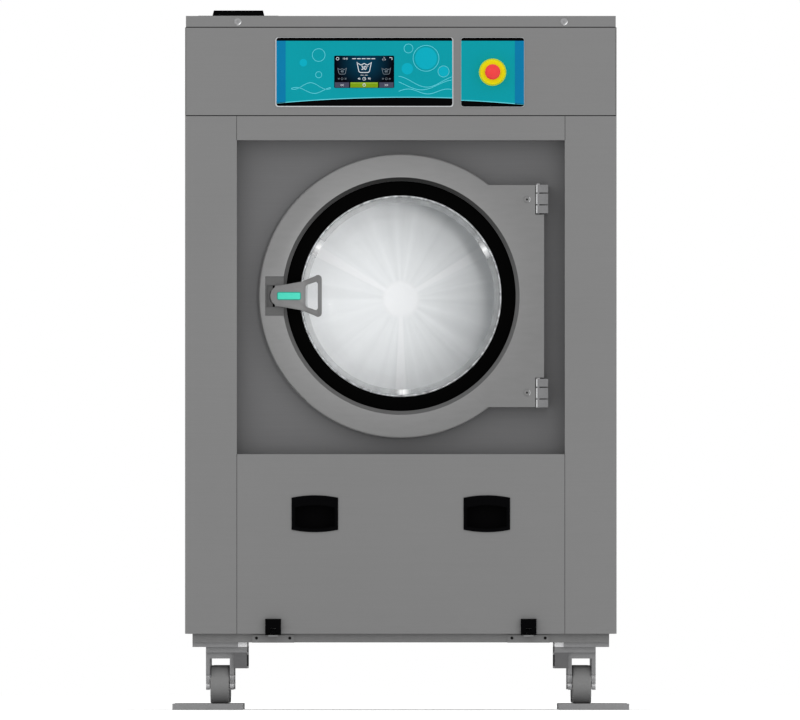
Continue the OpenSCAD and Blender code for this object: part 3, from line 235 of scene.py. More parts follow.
def grained(name, colour, metallic, roughness, grain_scale, depth=0.05, contrast=0.06,
            cloud_scale=5, specular=0.3):
    """A surface with a fine grain, long along an axis with a small scale, and clouds of tone."""
    material, tree, shader = plain(name, colour, metallic, roughness, specular)
    place = tree.nodes.new("ShaderNodeTexCoord")
    stretch = tree.nodes.new("ShaderNodeMapping")
    stretch.inputs["Scale"].default_value = grain_scale
    grain = tree.nodes.new("ShaderNodeTexNoise")
    grain.inputs["Scale"].default_value = 1
    grain.inputs["Detail"].default_value = 4
    cloud = tree.nodes.new("ShaderNodeTexNoise")
    cloud.inputs["Scale"].default_value = cloud_scale
    cloud.inputs["Detail"].default_value = 3
    both = tree.nodes.new("ShaderNodeMix")
    both.data_type = "FLOAT"
    both.inputs["Factor"].default_value = 0.4
    tone = tree.nodes.new("ShaderNodeValToRGB")
    dark, light = tone.color_ramp.elements
    dark.position = 0.3
    dark.color = [c * (1 - contrast) for c in colour[:3]] + [1]
    light.position = 0.7
    light.color = [min(1, c * (1 + contrast)) for c in colour[:3]] + [1]
    bump = tree.nodes.new("ShaderNodeBump")
    bump.inputs["Strength"].default_value = depth
    bump.inputs["Distance"].default_value = GRAIN_H
    tree.links.new(place.outputs["Object"], stretch.inputs["Vector"])
    tree.links.new(stretch.outputs["Vector"], grain.inputs["Vector"])
    tree.links.new(place.outputs["Object"], cloud.inputs["Vector"])
    tree.links.new(grain.outputs["Fac"], both.inputs["A"])
    tree.links.new(cloud.outputs["Fac"], both.inputs["B"])
    tree.links.new(both.outputs["Result"], tone.inputs["Fac"])
    tree.links.new(tone.outputs["Color"], shader.inputs["Base Color"])
    tree.links.new(grain.outputs["Fac"], bump.inputs["Height"])
    tree.links.new(bump.outputs["Normal"], shader.inputs["Normal"])
    return material


SHEET_GREY = srgb(131, 131, 131)
brushed_sheet = grained("brushed_sheet", SHEET_GREY, 0.3, 0.45, (9, 9, 900), 0.03, 0.025)
brushed_lid = grained("brushed_lid", SHEET_GREY, 0.3, 0.45, (9, 900, 900), 0.03, 0.025)
dress(brushed_sheet, "side_panel_left", "side_panel_right", "control_fascia", "front_bridge",
      "service_panel", "rear_panel")
dress(brushed_lid, "top_lid")


# Lid screws
# Two domed steel screws hold the lid's front edge to the cabinet. Each has a low crown with a
# hexagon socket, turned from one piece and plated.
LID_SCREW_X = 0.298
LID_SCREW_R = 0.0068
LID_SCREW_H = 0.0028
SOCKET_R = 0.0018
CROWN_ANGLE = math.radians(35)
# Shares of the head's height: its straight foot and its socket. Share of its radius: its top
FOOT_SHARE = 0.4
SOCKET_SHARE = 0.5
TOP_SHARE = 0.43
# The crown's steps: the rise of each as a share of the height, and the next radius as a share
CROWN = ((0.3, 0.88), (0.2, 0.8), (0.1, 0.62))


def pick_faces(test):
    """Selects the faces of the piece in hand whose middle and normal pass a test, in edit mode."""
    bpy.ops.object.mode_set(mode="EDIT")
    bpy.ops.mesh.select_mode(type="FACE")
    bpy.ops.mesh.select_all(action="DESELECT")
    bpy.ops.object.mode_set(mode="OBJECT")
    for face in bpy.context.object.data.polygons:
        face.select = bool(test(face.center, face.normal))
    bpy.ops.object.mode_set(mode="EDIT")


def pull(x, y, z):
    """Pulls the picked faces out of the piece in hand, or pushes them in."""
    bpy.ops.mesh.extrude_region_move(TRANSFORM_OT_translate={"value": (x, y, z)})


def keep(name, material, body):
    """Names the piece in hand, puts its place in its mesh and fixes it to its body."""
    piece = bpy.context.object
    bpy.ops.object.transform_apply(location=True, rotation=True, scale=True)
    piece.name = name
    piece.data.name = name
    piece.data.materials.clear()
    piece.data.materials.append(material)
    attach(piece, body)
    bpy.ops.object.select_all(action="DESELECT")
    return piece


def turn_screw(radius, height):
    """A domed screw head at the origin, with its crown towards the front and a hexagon socket."""
    foot = height * FOOT_SHARE
    bpy.ops.mesh.primitive_cylinder_add(vertices=36, radius=radius, depth=foot,
                                        location=(0, 0, foot / 2))
    pick_faces(lambda middle, normal: normal.z > 0.9)
    for rise, shrink in CROWN:
        pull(0, 0, rise * height)
        bpy.ops.transform.resize(value=(shrink, shrink, 1))
    bpy.ops.mesh.inset(thickness=radius * TOP_SHARE - SOCKET_R)
    pull(0, 0, -SOCKET_SHARE * height)
    bpy.ops.object.mode_set(mode="OBJECT")
    bpy.ops.object.shade_smooth_by_angle(angle=CROWN_ANGLE)
    bpy.context.object.rotation_euler = (math.pi / 2, 0, 0)
    return bpy.context.object


plated = grained("plated_steel", srgb(150, 150, 151), 0.6, 0.35, (300, 300, 300), 0.03)
painted_highlight = grained("painted_highlight_steel", srgb(240, 241, 242), 0.8, 0.2, (300, 300, 300), 0.01, 0.02)
lid_low, lid_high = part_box("top_lid")
for side in (-1, 1):
    screw = turn_screw(LID_SCREW_R, LID_SCREW_H)
    screw.location = (side * LID_SCREW_X, lid_low.y, (lid_low.z + lid_high.z) / 2)
    screw = keep("lid_screw_" + ("left" if side < 0 else "right"), plated, "root")
    # The lower right of each dome is painted bright: a painted highlight.
    tint(screw, painted_highlight, lambda middle, normal: normal.y < -0.2 and normal.x - normal.z > 0.55)


# Seam shade cords
# Thin black cords fill the seams under the lid, under the strip of controls and at the ends of the
# strip and the panel below it. They are painted shade, dark where the seams lie in shadow. Each is
# pressed in and stands just proud of the sheets.
SHADE_CORD_W = 0.785
SHADE_CORD_H = 0.0016
SHADE_CORD_OUT = 0.0002
SHADE_CORD_EDGE = 0.0001
SIDE_SHADE_CORD_W = 0.0007
seam_shade_black = grained("seam_shade_black", srgb(20, 20, 21), 0, 0.7, (300, 300, 300), 0.05, 0.1, 50, 0.05)


def shade_cord(place, width, height):
    """A straight cord that stands out of the front by the same depth that it is pressed in."""
    bpy.ops.mesh.primitive_cube_add(size=1, location=place)
    bpy.context.object.scale = (width, 2 * SHADE_CORD_OUT, height)
    bpy.ops.object.transform_apply(location=False, rotation=False, scale=True)


for name, part in (("lid_seam_shade", "top_lid"), ("fascia_seam_shade", "control_fascia")):
    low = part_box(part)[0]
    shade_cord((0, low.y, low.z), SHADE_CORD_W, SHADE_CORD_H)
    bpy.ops.object.mode_set(mode="EDIT")
    bpy.ops.mesh.select_all(action="SELECT")
    bpy.ops.mesh.bevel(offset=SHADE_CORD_EDGE, segments=2, affect="EDGES")
    bpy.ops.object.mode_set(mode="OBJECT")
    keep(name, seam_shade_black, "root")
for name, part in (("bridge_seam_shades", "front_bridge"), ("service_seam_shades", "service_panel")):
    low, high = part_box(part)
    for side, x in (("left", low.x - SIDE_SHADE_CORD_W / 2), ("right", high.x + SIDE_SHADE_CORD_W / 2)):
        shade_cord((x, front_y, (low.z + high.z) / 2), SIDE_SHADE_CORD_W, high.z - low.z)
        keep(name + "_" + side, seam_shade_black, "root")


# Display plate
# A steel plate with a printed film on it: teal, with a blue band, black ends and a design of soap
# bubbles and waves in pale lines. Each colour is a thin layer of ink over the one below.
INK = 0.00022
TRIM = 0.0018
STRIP_H = 0.0058
BAND_W = 0.0168
FILM_CORNER = 0.0046
FILM_GAP = 0.0005
LINE_W = 0.0009
LINE_BELOW = 0.0004
BUBBLE_RIM = 0.0008
ARCH_TOP = 1.1187
ARCH_BEND = 0.193
ARCH_X = 0.010


def thicken(thickness):
    """Gives the flat piece in hand a thickness towards the front."""
    solidify = bpy.context.object.modifiers.new("ink", "SOLIDIFY")
    solidify.thickness = thickness
    solidify.offset = 1
    bpy.ops.object.modifier_apply(modifier="ink")


def layer(name, material, x0, x1, low, high, y, steps=1, thickness=INK):
    """A thin sheet that faces forward, between two heights that may be functions of x."""
    bpy.ops.mesh.primitive_grid_add(x_subdivisions=steps, y_subdivisions=1, size=1)
    for corner in bpy.context.object.data.vertices:
        x = x0 + (corner.co.x + 0.5) * (x1 - x0)
        edge = high if corner.co.y > 0 else low
        corner.co = (x, y, edge(x) if callable(edge) else edge)
    thicken(thickness)
    return keep(name, material, "root")


def ink(name, colour, roughness=0.35, cloud=0.04):
    """Screen ink with a faint unevenness of tone."""
    return grained(name, colour, 0, roughness, (400, 400, 400), 0.01, cloud, 18, 0.08)


teal_ink = ink("teal_ink", srgb(0, 163, 176))
blue_ink = ink("blue_ink", srgb(0, 129, 178))
black_ink = grained("black_ink", srgb(2, 2, 3), 0, 0.4, (400, 400, 400), 0.01, 0.04, 18, 0.02)
pale_ink = ink("pale_ink", srgb(112, 232, 246))
haze_ink = ink("haze_ink", srgb(0, 182, 204))
plate_edge = grained("plate_edge", srgb(196, 198, 200), 0.7, 0.35, (300, 300, 300), 0.03)
dress(plate_edge, "display_panel", "estop_panel")


def round_sheet(x0, x1, z0, z1, y, corner, thickness):
    """An upright sheet with round corners, left in edit mode with its front picked."""
    bpy.ops.mesh.primitive_plane_add(size=1, location=((x0 + x1) / 2, y, (z0 + z1) / 2),
                                     rotation=(math.pi / 2, 0, 0))
    bpy.context.object.scale = (x1 - x0, z1 - z0, 1)
    bpy.ops.object.transform_apply(location=False, rotation=False, scale=True)
    bpy.ops.object.mode_set(mode="EDIT")
    bpy.ops.mesh.select_all(action="SELECT")
    bpy.ops.mesh.bevel(offset=corner, segments=6, affect="VERTICES")
    pull(0, -thickness, 0)


def print_film(name, x0, x1, z0, z1, y, arch, blue_x, steps):
    """A printed film: black, with teal above an arch, a blue band and a pale line on the arch."""
    round_sheet(x0, x1, z0, z1, y, FILM_CORNER, INK)
    bpy.ops.object.mode_set(mode="OBJECT")
    keep(name + "_film", black_ink, "root")
    top = z1 - STRIP_H
    layer(name + "_teal", teal_ink, x0, x1, arch, top, y - INK, steps)
    layer(name + "_blue", blue_ink, blue_x, blue_x + BAND_W, arch, top, y - 2 * INK, 6)
    layer(name + "_arch", pale_ink, x0, x1, lambda x: arch(x) - LINE_BELOW,
          lambda x: arch(x) + LINE_W, y - 2 * INK, steps)


def display_arch(x):
    """The height of the black foot's upper edge on the display's film."""
    return ARCH_TOP - ARCH_BEND * (x - ARCH_X) ** 2


plate_low, plate_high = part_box("display_panel")
film_y = plate_low.y
print_film("display", plate_low.x + TRIM, plate_high.x - TRIM, plate_low.z + TRIM,
           plate_high.z - FILM_GAP, film_y, display_arch, plate_low.x + TRIM, 48)

# Waves: start, end, height at the middle, height of the wave, length of the wave and shift
WAVES = [
    (-0.200, -0.128, 1.139, 0.0060, 0.060, 0.0),
    (-0.200, -0.128, 1.131, 0.0055, 0.066, 0.9),
    (-0.004, 0.093, 1.147, 0.0100, 0.110, 2.0),
    (-0.004, 0.093, 1.141, 0.0090, 0.118, 2.7),
    (-0.004, 0.093, 1.129, 0.0045, 0.072, 0.4),
]
for index, (x0, x1, z, rise, length, shift) in enumerate(WAVES):
    def crest(x):
        return z + rise * math.sin(2 * math.pi * x / length + shift)
    layer(f"display_wave_{index}", pale_ink, x0, x1, crest, lambda x: crest(x) + LINE_W,
          film_y - 2 * INK, 40)

# Bubbles: middle, radius, and whether the bubble is filled
BUBBLES = [
    (0.046, 1.190, 0.0200, True),
    (0.046, 1.190, 0.0240, False),
    (0.014, 1.208, 0.0085, False),
    (0.078, 1.166, 0.0090, True),
    (0.078, 1.166, 0.0105, False),
    (0.012, 1.171, 0.0105, True),
    (-0.150, 1.196, 0.0120, False),
    (-0.178, 1.182, 0.0070, True),
    (-0.150, 1.160, 0.0060, False),
]
for index, (x, z, radius, filled) in enumerate(BUBBLES):
    bpy.ops.mesh.primitive_circle_add(vertices=48, radius=radius, fill_type="NGON",
                                      location=(x, film_y - INK * 2, z),
                                      rotation=(math.pi / 2, 0, 0))
    if not filled:
        bpy.ops.object.mode_set(mode="EDIT")
        bpy.ops.mesh.select_all(action="SELECT")
        bpy.ops.mesh.inset(thickness=BUBBLE_RIM)
        bpy.ops.mesh.delete(type="FACE")
        bpy.ops.object.mode_set(mode="OBJECT")
    thicken(INK)
    keep(f"display_bubble_{index}", haze_ink if filled else pale_ink, "root")


# Touch screen
# A glass touch screen in the display plate. It shows washing programmes as tubs with plain
# temperatures, a green start button in the middle and two grey ones beside it.
GLOW = 0.00018
SHINE_DROP = 0.012
SHINE_SIZE = (0.052, 0.05, 0.046)

screen_low, screen_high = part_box("touch_screen")
screen_x = (screen_low.x + screen_high.x) / 2
glass_y = screen_low.y
screen_glass, tree, shader = plain("screen_glass", srgb(4, 8, 20), 0, 0.3, 0.02)
place = tree.nodes.new("ShaderNodeTexCoord")
centre = tree.nodes.new("ShaderNodeMapping")
centre.vector_type = "TEXTURE"
centre.inputs["Location"].default_value = (screen_x, glass_y, screen_high.z - SHINE_DROP)
centre.inputs["Scale"].default_value = SHINE_SIZE
ball = tree.nodes.new("ShaderNodeTexGradient")
ball.gradient_type = "SPHERICAL"
shine = tree.nodes.new("ShaderNodeValToRGB")
shine.color_ramp.elements[0].color = srgb(2, 3, 12)
shine.color_ramp.elements[1].color = srgb(6, 66, 92)
tree.links.new(place.outputs["Object"], centre.inputs["Vector"])
tree.links.new(centre.outputs["Vector"], ball.inputs["Vector"])
tree.links.new(ball.outputs["Fac"], shine.inputs["Fac"])
tree.links.new(shine.outputs["Color"], shader.inputs["Base Color"])
dress(screen_glass, "touch_screen")

symbol_white = plain("symbol_white", srgb(238, 244, 250), 0, 0.4, 0.1)[0]
symbol_dim = plain("symbol_dim", srgb(132, 146, 156), 0, 0.4, 0.1)[0]
button_grey = ink("button_grey", srgb(74, 76, 96))
start_green = ink("start_green", srgb(132, 168, 16), 0.3, 0.12)
start_light = plain("start_light", srgb(176, 204, 70), 0, 0.4, 0.1)[0]


def draw_line(points, width, closed=False):
    """A line of light on the screen through points in x and z, drawn as a curve and made a mesh."""
    bpy.ops.curve.primitive_bezier_curve_add()
    line = bpy.context.object
    line.data.splines.clear()
    spline = line.data.splines.new("POLY")
    spline.points.add(len(points) - 1)
    for knot, (x, z) in zip(spline.points, points):
        knot.co = (x, 0, z, 1)
    spline.use_cyclic_u = closed
    line.data.bevel_depth = width / 2
    line.data.bevel_resolution = 1
    bpy.ops.object.convert(target="MESH")
    bpy.ops.object.mode_set(mode="EDIT")
    bpy.ops.mesh.select_all(action="SELECT")
    bpy.ops.transform.resize(value=(1, 0.3, 1), center_override=(0, 0, 0))
    bpy.ops.object.mode_set(mode="OBJECT")
    return bpy.context.object


def keep_lines(name, lines, material, y):
    """Joins lines of the screen into one piece that lies at a depth y."""
    bpy.ops.object.select_all(action="DESELECT")
    for line in lines:
        line.select_set(True)
    bpy.context.view_layer.objects.active = lines[0]
    bpy.ops.object.join()
    lines[0].location = (0, y, 0)
    return keep(name, material, "root")


def wash_tub(x, z, size, width):
    """The lines of a wash tub: sloping sides, round corners and a wave of water between them."""
    half, foot, depth, corner = size * 0.5, size * 0.34, size * 0.72, size * 0.16
    foot_x = x - foot - corner * 0.3
    foot_z = z - depth / 2 + corner
    left = [(x - half, z + depth / 2), (foot_x, foot_z)]
    left += [(foot_x + corner * (1 - math.cos(a)), foot_z - corner * math.sin(a))
             for a in (math.pi / 6, math.pi / 3, math.pi / 2)]
    right = [(2 * x - px, pz) for px, pz in reversed(left)]
    water_w, water_z = half * 1.72, z + depth * 0.30
    wave = [(x - water_w / 2 + k * water_w / 16, water_z + size * 0.05 * math.cos(k * math.pi / 4))
            for k in range(17)]
    return [draw_line(left + right, width), draw_line(wave, width)]


def figures(text, x, z, height):
    """Plain figures on the screen, centred on a point."""
    bpy.ops.object.text_add(location=(x, 0, z), rotation=(math.pi / 2, 0, 0))
    label = bpy.context.object
    label.data.body = text
    label.data.size = height * 1.4
    label.data.align_x = "CENTER"
    label.data.align_y = "CENTER"
    label.data.extrude = GLOW
    label.data.offset = height * 0.02
    bpy.ops.object.convert(target="MESH")
    bpy.ops.object.transform_apply(location=True, rotation=True, scale=True)
    return bpy.context.object


def ring(x, z, radius, width):
    """A circle drawn as a line."""
    turns = [a * math.pi / 12 for a in range(24)]
    return draw_line([(x + radius * math.cos(a), z + radius * math.sin(a)) for a in turns],
                     width, True)


MAIN_TUB_Z = 1.1735
MAIN_TUB = (0.0262, 0.0016)
BARS_Z = 1.1592
DIALS_Z = 1.1527
SIDE_TUB_Z = 1.1668
SIDE_TUB = (0.0158, 0.0009)
SIDE_X = 0.0403
STATUS_DROP = 0.0055
STATUS_START = 0.0220
STATUS_BARS = 5
STATUS_PITCH = 0.0088
STATUS_BAR = 0.0068
STATUS_BAR_W = 0.0017
WARNING_IN = 0.0185
CORNER_IN = 0.0040

status_z = screen_high.z - STATUS_DROP
warning_x = screen_high.x - WARNING_IN
corner_x = screen_high.x - CORNER_IN
# Figures: text, middle in x and z, and height
MAIN_FIGURES = [
    ("30", screen_x - 0.0006, MAIN_TUB_Z - 0.0013, 0.0072),
    ("45", screen_x - 0.0092, DIALS_Z, 0.0034),
    ("90", screen_x + 0.0092, DIALS_Z, 0.0034),
    ("12:45", screen_low.x + 0.0200, status_z, 0.0030),
]
# Rings: middle in x and z, radius, and width of the line
MAIN_RINGS = [
    (screen_x + 0.0061, MAIN_TUB_Z + 0.0017, 0.0011, 0.0005),
    (screen_x, DIALS_Z, 0.0027, 0.0009),
    (screen_low.x + 0.0062, status_z, 0.0024, 0.0010),
]
# Lines: points in x and z, width, and whether the line is closed
MAIN_LINES = [
    ([(screen_x, DIALS_Z + 0.0018), (screen_x, DIALS_Z), (screen_x + 0.0014, DIALS_Z - 0.0008)],
     0.0006, False),
    ([(screen_x - 0.0065, BARS_Z), (screen_x - 0.001, BARS_Z)], 0.0009, False),
    ([(screen_x + 0.001, BARS_Z), (screen_x + 0.0065, BARS_Z)], 0.0009, False),
    ([(warning_x - 0.0032, status_z - 0.0024), (warning_x, status_z + 0.0030),
      (warning_x + 0.0032, status_z - 0.0024)], 0.0008, True),
    ([(corner_x - 0.0045, status_z + 0.0020), (corner_x, status_z + 0.0020),
      (corner_x, status_z - 0.0020)], 0.0014, False),
]
main = wash_tub(screen_x, MAIN_TUB_Z, *MAIN_TUB)
main += [figures(*row) for row in MAIN_FIGURES]
main += [ring(*row) for row in MAIN_RINGS]
main += [draw_line(*row) for row in MAIN_LINES]
for bar in range(STATUS_BARS):
    x = screen_x - STATUS_START + bar * STATUS_PITCH
    main.append(draw_line([(x, status_z), (x + STATUS_BAR, status_z)], STATUS_BAR_W))
keep_lines("screen_main_symbols", main, symbol_white, glass_y)

side_symbols = []
for direction, number in ((-1, "40"), (1, "60")):
    x = screen_x + direction * SIDE_X
    side_symbols += wash_tub(x, SIDE_TUB_Z, *SIDE_TUB)
    side_symbols += [
        figures(number, x, SIDE_TUB_Z - 0.0008, 0.0040),
        ring(x, DIALS_Z, 0.0018, 0.0006),
        figures("50", x - 0.0062, DIALS_Z, 0.0024),
        figures("20", x + 0.0062, DIALS_Z, 0.0024),
    ]
keep_lines("screen_side_symbols", side_symbols, symbol_dim, glass_y)

BUTTON_X = 0.0405
BUTTON_HALF_W = 0.0130
BUTTON_FOOT, BUTTON_TOP = 0.0006, 0.0102
START_HALF_W = 0.0252
SHINE_HALF_W = 0.0246
SHINE_FOOT, SHINE_TOP = 0.0020, 0.0008
MARK_W = 0.0010
ARROW_GAP = 0.0016
ARROW_TIP = 0.0014

button_z0 = screen_low.z + BUTTON_FOOT
button_z1 = screen_low.z + BUTTON_TOP
for direction in (-1, 1):
    x = screen_x + direction * BUTTON_X
    layer("screen_button_" + ("left" if direction < 0 else "right"), button_grey,
          x - BUTTON_HALF_W, x + BUTTON_HALF_W, button_z0, button_z1, glass_y, 1, GLOW)
layer("screen_start_button", start_green, screen_x - START_HALF_W, screen_x + START_HALF_W,
      button_z0, button_z1, glass_y, 1, GLOW)
layer("screen_start_shine", start_light, screen_x - SHINE_HALF_W, screen_x + SHINE_HALF_W,
      button_z1 - SHINE_FOOT, button_z1 - SHINE_TOP, glass_y - GLOW, 1, GLOW)
marks = []
for direction in (-1, 1):
    for step in (-ARROW_GAP, ARROW_GAP):
        x = screen_x + direction * BUTTON_X + step
        tip = direction * ARROW_TIP
        marks.append(draw_line([(x - tip, button_z0 + 0.0062), (x + tip, button_z0 + 0.0045),
                                (x - tip, button_z0 + 0.0028)], MARK_W))
marks += [ring(screen_x, button_z0 + 0.0046, 0.0024, MARK_W),
          draw_line([(screen_x, button_z0 + 0.0058), (screen_x, button_z0 + 0.0084)], MARK_W)]
keep_lines("screen_button_marks", marks, symbol_white, glass_y - 2 * GLOW)


# Emergency stop
# A red mushroom head of gloss plastic on a yellow collar, on a film of its own with a blue band and
# a black foot. The head is pressed in and turned back out.
STOP_ARCH_TOP = 1.1131
STOP_ARCH_DROP = 0.0076
STOP_ARCH_BEND = 1.3

yellow_plastic = grained("yellow_plastic", srgb(255, 246, 8), 0, 0.35, (500, 500, 500), 0.02, 0.05,
                         40, 0.1)
red_plastic = grained("red_plastic", srgb(255, 58, 58), 0, 0.35, (500, 500, 500), 0.01, 0.05,
                      40, 0.4)
dress(yellow_plastic, "estop_collar")
dress(red_plastic, "estop_stem", "estop_head")

stop_low, stop_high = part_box("estop_panel")
stop_x0, stop_x1 = stop_low.x + FILM_GAP, stop_high.x - FILM_GAP


def stop_arch(x):
    """The height of the black foot's upper edge on the stop's film."""
    along = (x - stop_x0) / (stop_x1 - stop_x0)
    return STOP_ARCH_TOP - STOP_ARCH_DROP * along ** STOP_ARCH_BEND


print_film("stop", stop_x0, stop_x1, stop_low.z + FILM_GAP, stop_high.z - FILM_GAP, stop_low.y,
           stop_arch, stop_x1 - BAND_W, 24)


# Soap box
# Black moulded plastic, let into the lid, with a lid of its own that lifts at the back. The mould
# leaves a fine leather-like grain.
moulded_black = grained("moulded_black", srgb(4, 4, 5), 0, 0.55, (900, 900, 900), 0.1, 0.15,
                        60, 0.02)
dress(moulded_black, "soap_box", "soap_lid")


# Service panel
# The panel below the door has two black recessed pulls and swings down on two black hinge blocks.
# Their brackets are screwed to the base with countersunk screws.
BRACKET_X = 0.2332
BRACKET_SCREW_X = 0.0304
BRACKET_SCREW_Z = 0.0085
BRACKET_SCREW_R = 0.0027
BRACKET_SCREW_H = 0.0008
BRACKET_SCREW_RIM = 0.0008
BRACKET_SCREW_SINK = 0.0005
BRACKET_T = 0.003

dress(moulded_black, "panel_pulls", "panel_hinge_blocks")
bracket_steel = grained("bracket_steel", srgb(127, 127, 127), 0.3, 0.45, (60, 60, 60))
dress(bracket_steel, "hinge_brackets")
block_low, block_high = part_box("panel_hinge_blocks")
paint("hinge_brackets", moulded_black,
      lambda middle, normal: middle.y < block_high.y and middle.z > block_low.z)

screw_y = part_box("base_cross_rails")[0].y - BRACKET_T - BRACKET_SCREW_H / 2
screw_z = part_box("hinge_brackets")[0].z + BRACKET_SCREW_Z
dark_recess = plain("dark_recess", srgb(8, 8, 8), 0, 0.6, 0.1)[0]
for side in (-1, 1):
    for end in (-1, 1):
        bpy.ops.mesh.primitive_cylinder_add(vertices=32, radius=BRACKET_SCREW_R,
                                            depth=BRACKET_SCREW_H)
        pick_faces(lambda middle, normal: normal.z > 0.9)
        bpy.ops.mesh.inset(thickness=BRACKET_SCREW_RIM)
        pull(0, 0, -BRACKET_SCREW_SINK)
        bpy.ops.object.mode_set(mode="OBJECT")
        screw = bpy.context.object
        screw.rotation_euler = (math.pi / 2, 0, 0)
        screw.location = (side * BRACKET_X + end * BRACKET_SCREW_X, screw_y, screw_z)
        keep(f"bracket_screw_{'left' if side < 0 else 'right'}_"
             f"{'inner' if end * side < 0 else 'outer'}", dark_recess, "root")


# Base, casters and floor plates
# Welded channel rails in painted steel stand on four fixed casters with grey solid tyres. Each
# wheel rests on a plate that is anchored to the floor.
LEG_END = 0.0262
SPACER_H = 0.0080
SPACER_X = 0.2972


def object_place(tree):
    """The place of a point in the object, as its X, Y and Z."""
    place = tree.nodes.new("ShaderNodeTexCoord")
    apart = tree.nodes.new("ShaderNodeSeparateXYZ")
    tree.links.new(place.outputs["Object"], apart.inputs[0])
    return apart.outputs


def brighten(material, share, colour):
    """Mixes a plain colour into a finish by a share that varies over it."""
    tree = material.node_tree
    tone = tree.nodes["Principled BSDF"].inputs["Base Color"]
    mix = tree.nodes.new("ShaderNodeMix")
    mix.data_type = "RGBA"
    mix.inputs[7].default_value = colour
    tree.links.new(share, mix.inputs[0])
    tree.links.new(tone.links[0].from_socket, mix.inputs[6])
    tree.links.new(mix.outputs[2], tone)


base_paint = grained("base_paint", srgb(128, 128, 128), 0.2, 0.5, (80, 80, 80), 0.08)
# The tie rails are painted darker than the base: painted shade, as they stand further back.
shaded_rail_paint = grained("shaded_rail_paint", srgb(106, 106, 107), 0.2, 0.5, (80, 80, 80), 0.08)
caster_zinc = grained("caster_zinc", srgb(138, 138, 139), 0.35, 0.42, (120, 120, 120), 0.08)
plate_zinc = grained("plate_zinc", srgb(146, 146, 147), 0.3, 0.45, (90, 90, 90), 0.08)
tyre_grey = grained("tyre_grey", srgb(142, 142, 142), 0, 0.62, (300, 300, 300), 0.2)
dress(base_paint, "base_side_rails", "base_cross_rails")
dress(shaded_rail_paint, "tie_rails")
dress(caster_zinc, "caster_forks")

# The ends of the legs are painted bright, a painted reflection of the pale floor; the spacers above
# them are bare bright zinc
fork_low, fork_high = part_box("caster_forks")
tree = caster_zinc.node_tree
place = object_place(tree)
leg_end_reflection = reckon(tree, "LESS_THAN", place["Z"], fork_low.z + LEG_END)
high_up = reckon(tree, "GREATER_THAN", place["Z"], fork_high.z - SPACER_H)
far_in = reckon(tree, "LESS_THAN", reckon(tree, "ABSOLUTE", place["X"]), SPACER_X)
spacer = reckon(tree, "MULTIPLY", high_up, far_in)
brighten(caster_zinc, reckon(tree, "MAXIMUM", leg_end_reflection, spacer), srgb(252, 252, 253))
dress(plated, "axle_pins")
dress(plate_zinc, "floor_plates")
dress(tyre_grey, "wheel_front_left", "wheel_front_right", "wheel_rear_left", "wheel_rear_right")


# Tub front
# The plate that closes the tub is dark brushed stainless steel, set back behind the cabinet's
# window. It carries the door's hinges on the right and the closed lock on the left.
KNUCKLE_IN = 0.0029
KNUCKLE_W = 0.0030

recess_steel = grained("recess_steel", srgb(114, 114, 115), 0.2, 0.45, (7, 9, 500), 0.03, 0.04, 4)
dress(recess_steel, "tub_front_plate", "tub_wall", "tub_back")
dress(moulded_black, "lock_housing")
hinge_steel = grained("hinge_steel", srgb(126, 126, 127), 0.4, 0.4, (150, 150, 150), 0.06)
dress(hinge_steel, "door_hinge_blocks", "door_hinge_leaves")
# The round left edges of the hinge knuckles are painted bright: a painted highlight.
knuckle_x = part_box("door_hinge_blocks")[0].x + KNUCKLE_IN
for name in ("door_hinge_blocks", "door_hinge_leaves"):
    paint(name, painted_highlight, lambda middle, normal: knuckle_x - KNUCKLE_W < middle.x < knuckle_x
          and normal.x < -0.4 and normal.y < 0.1 and abs(normal.z) < 0.1)
dress(plated, "door_hinge_pins")


# Door
# A cast ring in satin alloy holds a black gasket and a glass bowl with a bright rim. Its hinge side
# is squared off and has one domed screw at each hinge.
LIP_R = 0.220
LIP_INNER_R = 0.205
LIP_DARK_H = 0.215
GLASS_EDGE_R = 0.170
GLASS_ALPHA = 0.08
EDGE_ALPHA = 0.42
GLINTS = 3
GLINT_TURN = 0.75
GLINT_SPREAD = 0.06
GLINT_LIGHT = (0.85, 0.85, 0.85, 1)


def rescale(tree, socket, start, end, first, last):
    """Takes a number that runs from start to end to one that runs from first to last."""
    step = tree.nodes.new("ShaderNodeMapRange")
    step.inputs["From Min"].default_value = start
    step.inputs["From Max"].default_value = end
    step.inputs["To Min"].default_value = first
    step.inputs["To Max"].default_value = last
    tree.links.new(socket, step.inputs["Value"])
    return step.outputs["Result"]


def scale_tone(material, factor):
    """Multiplies a finish's colour by a factor that varies over it."""
    tree = material.node_tree
    tone = tree.nodes["Principled BSDF"].inputs["Base Color"]
    scaled = tree.nodes.new("ShaderNodeVectorMath")
    scaled.operation = "SCALE"
    tree.links.new(tone.links[0].from_socket, scaled.inputs[0])
    tree.links.new(factor, scaled.inputs["Scale"])
    tree.links.new(scaled.outputs["Vector"], tone)


def shade_along(material, axis, start, end, least):
    """Darkens a finish along an axis, towards the end of a hollow that little light reaches."""
    tree = material.node_tree
    scale_tone(material, rescale(tree, object_place(tree)[axis], start, end, 1, least))


